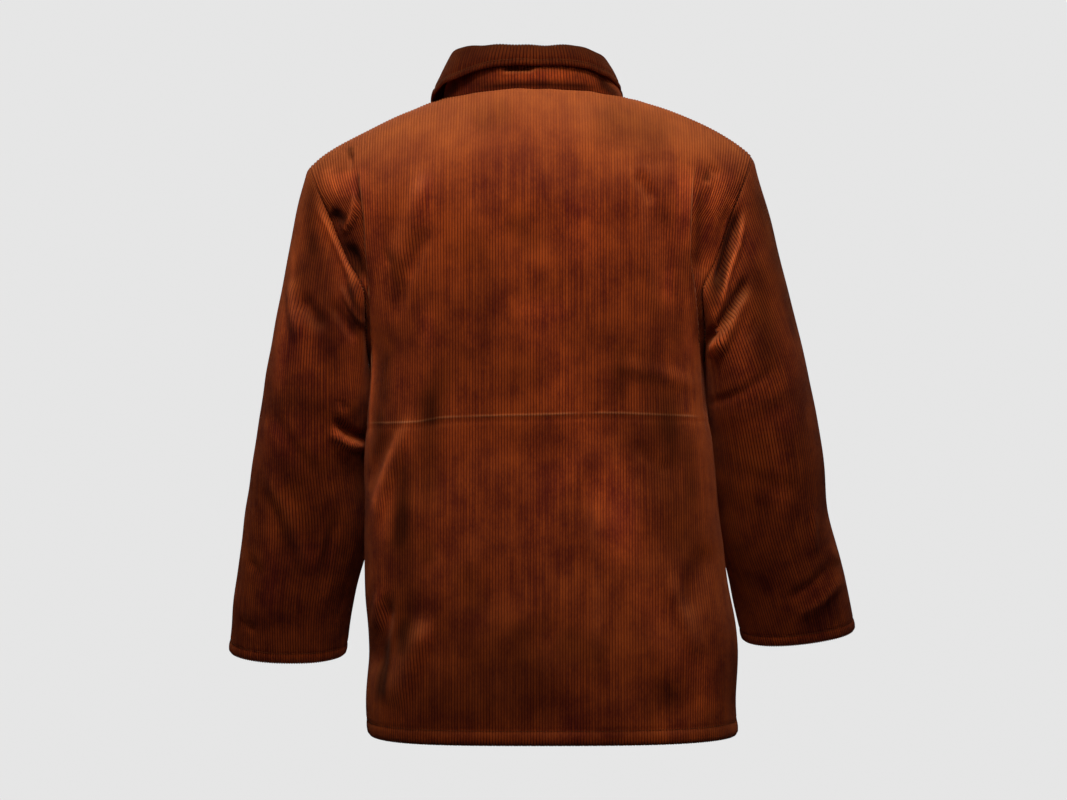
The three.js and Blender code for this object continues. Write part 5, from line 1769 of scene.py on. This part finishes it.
def make_floor():
    """A pale floor under the jacket, lost in the backdrop further out."""
    count = 64
    angles = np.arange(count) * 2 * math.pi / count
    rim = np.stack([np.cos(angles), np.sin(angles), np.zeros(count)], axis=1) * FLOOR_RADIUS
    points = np.concatenate([rim, [[0.0, 0.0, 0.0]]]) + np.array([0.0, 0.0, FLOOR_Z])
    floor = link_mesh("floor", points, [[k, (k + 1) % count, count] for k in range(count)])
    n = Nodes("floor")
    place = n.place()
    flat = n.multiplied(place, (1.0, 1.0, 0.0))
    far = n.put("ShaderNodeVectorMath", {0: flat}, operation="LENGTH").outputs["Value"]
    n.feed(n.shader.inputs["Alpha"], n.remap(far, 0.30, 0.95, 1.0, 0.0))
    tone = n.blend(n.noise(place, 4.0), FLOOR_DARK, FLOOR_LIGHT)
    n.feed(n.shader.inputs["Emission Color"], (*BACKDROP, 1.0))
    seen = n.put("ShaderNodeLightPath").outputs["Is Camera Ray"]
    n.feed(n.shader.inputs["Emission Strength"], n.times(seen, FLOOR_GLOW))
    floor.data.materials.append(n.finish(tone, 0.9))
    floor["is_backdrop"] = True


# ---- putting the jacket together ----------------------------------------------------------
def front_surface(z):
    """How far forward the closed fronts stand on the centre line."""
    if z <= CHEST_Z:
        return float(-read(BODY, "z", "front", z))
    climb = np.linspace(0.0, math.pi / 2, 400)
    start = float(read(BODY, "z", "front", CHEST_Z))
    height = mix(CHEST_Z, RIDGE["front"]["left"][0], np.sin(climb))
    return float(-np.interp(z, height, start * np.cos(climb)))


def dress(obj, material, slot, *nodes):
    """Gives a piece its material, and says what it rides on and what it replaces. slot is not used."""
    obj.data.materials.clear()
    obj.data.materials.append(material)
    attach(obj, "root")
    if nodes:
        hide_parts(*nodes)


def make_walls(back, fronts, sleeves, stand, leaf):
    """The seven pieces of cloth, by the node that each replaces."""
    cloths = {"back": (back, WALL)}
    cloths |= {f"front_{side}": (cloth, WALL) for side, cloth in fronts.items()}
    cloths |= {f"sleeve_{side}": (cloth, WALL) for side, cloth in sleeves.items()}
    cloths |= {"collar_stand": (stand, COLLAR_WALL), "collar_leaf": (leaf, LEAF_WALL)}
    walls = {node: cloth.build(wall) for node, (cloth, wall) in cloths.items()}
    for seed, (node, obj) in enumerate(walls.items()):
        material = corduroy_material(f"corduroy_{node}", float(seed), *PIECE_PAINTED_LIGHT[node])
        dress(obj, material, "corduroy", node)
    return walls


def make_topstitching(back, fronts, sleeves, leaf):
    """The lines of stitches along the hem, the cuffs, the leaf's edge and the left front."""

    def line(cloth, distance, band, axis=0, closed=False):
        return even_places(*line_where(cloth, distance, band, axis), STITCH, closed)

    left = fronts["left"]
    hems = [line(cloth, cloth.from_first_row, HEM_BAND) for cloth in (back, *fronts.values())]
    cuffs = [
        line(cloth, cloth.from_last_row, CUFF_BAND, closed=True) for cloth in sleeves.values()
    ]
    rows = {
        "hem_stitches": hems,
        "cuff_stitches": cuffs,
        "collar_stitches": [line(leaf, leaf.from_last_row, COLLAR_BAND)],
        "front_stitches": [line(left, left.from_first_column, FRONT_BAND, axis=1)],
    }
    return {name: stitch_rows(name, places) for name, places in rows.items()}


def make_buttoning(front):
    """The buttons down the front, and their threads and buttonholes."""
    horn = horn_material()
    heights = [BUTTON_TOP_Z - i * BUTTON_PITCH for i in range(BUTTON_COUNT)]
    places = []
    for i, z in enumerate(heights):
        rise = front_surface(z + LEAN_REACH) - front_surface(z - LEAN_REACH)
        lean = math.atan2(rise, 2 * LEAN_REACH)
        centre = np.array([0.0, front_surface(z) - BUTTON_STAND, z])
        button, turn = make_button(f"button_{i + 1}_horn", centre, lean)
        places.append((centre, turn))
        dress(button, horn, "buttons", f"button_{i + 1}")
    bars = [buttonhole_rows(front, z) for z in heights]
    return {
        "button_threads": button_threads(places),
        "buttonholes": stitch_rows("buttonholes", bars, BUTTONHOLE_BAR, BUTTON_THREAD),
    }


make_camera()
for light in LIGHTS:
    make_light(*light)
make_world()
make_floor()
bpy.context.scene.view_settings.view_transform = "Standard"

back = make_back()
fronts = {side: make_front(side) for side in ("left", "right")}
sleeves = {side: make_sleeve(side, back, fronts[side]) for side in ("left", "right")}
lines = collar_lines(back, fronts)
stand = make_stand(lines)
leaf = make_leaf(lines)

walls = make_walls(back, fronts, sleeves, stand, leaf)
thread = thread_material()
stitches = make_topstitching(back, fronts, sleeves, leaf)
stitches |= make_buttoning(fronts["left"])
for obj in stitches.values():
    dress(obj, thread, "corduroy")

for node, (flat, area, joined) in CUT.items():
    pieces = [stitches[name] for name in joined]

sizes = {
    name: [list(corner) for corner in box]
    for name, box in (("cad", CAD_BOX), ("looks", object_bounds()))
}
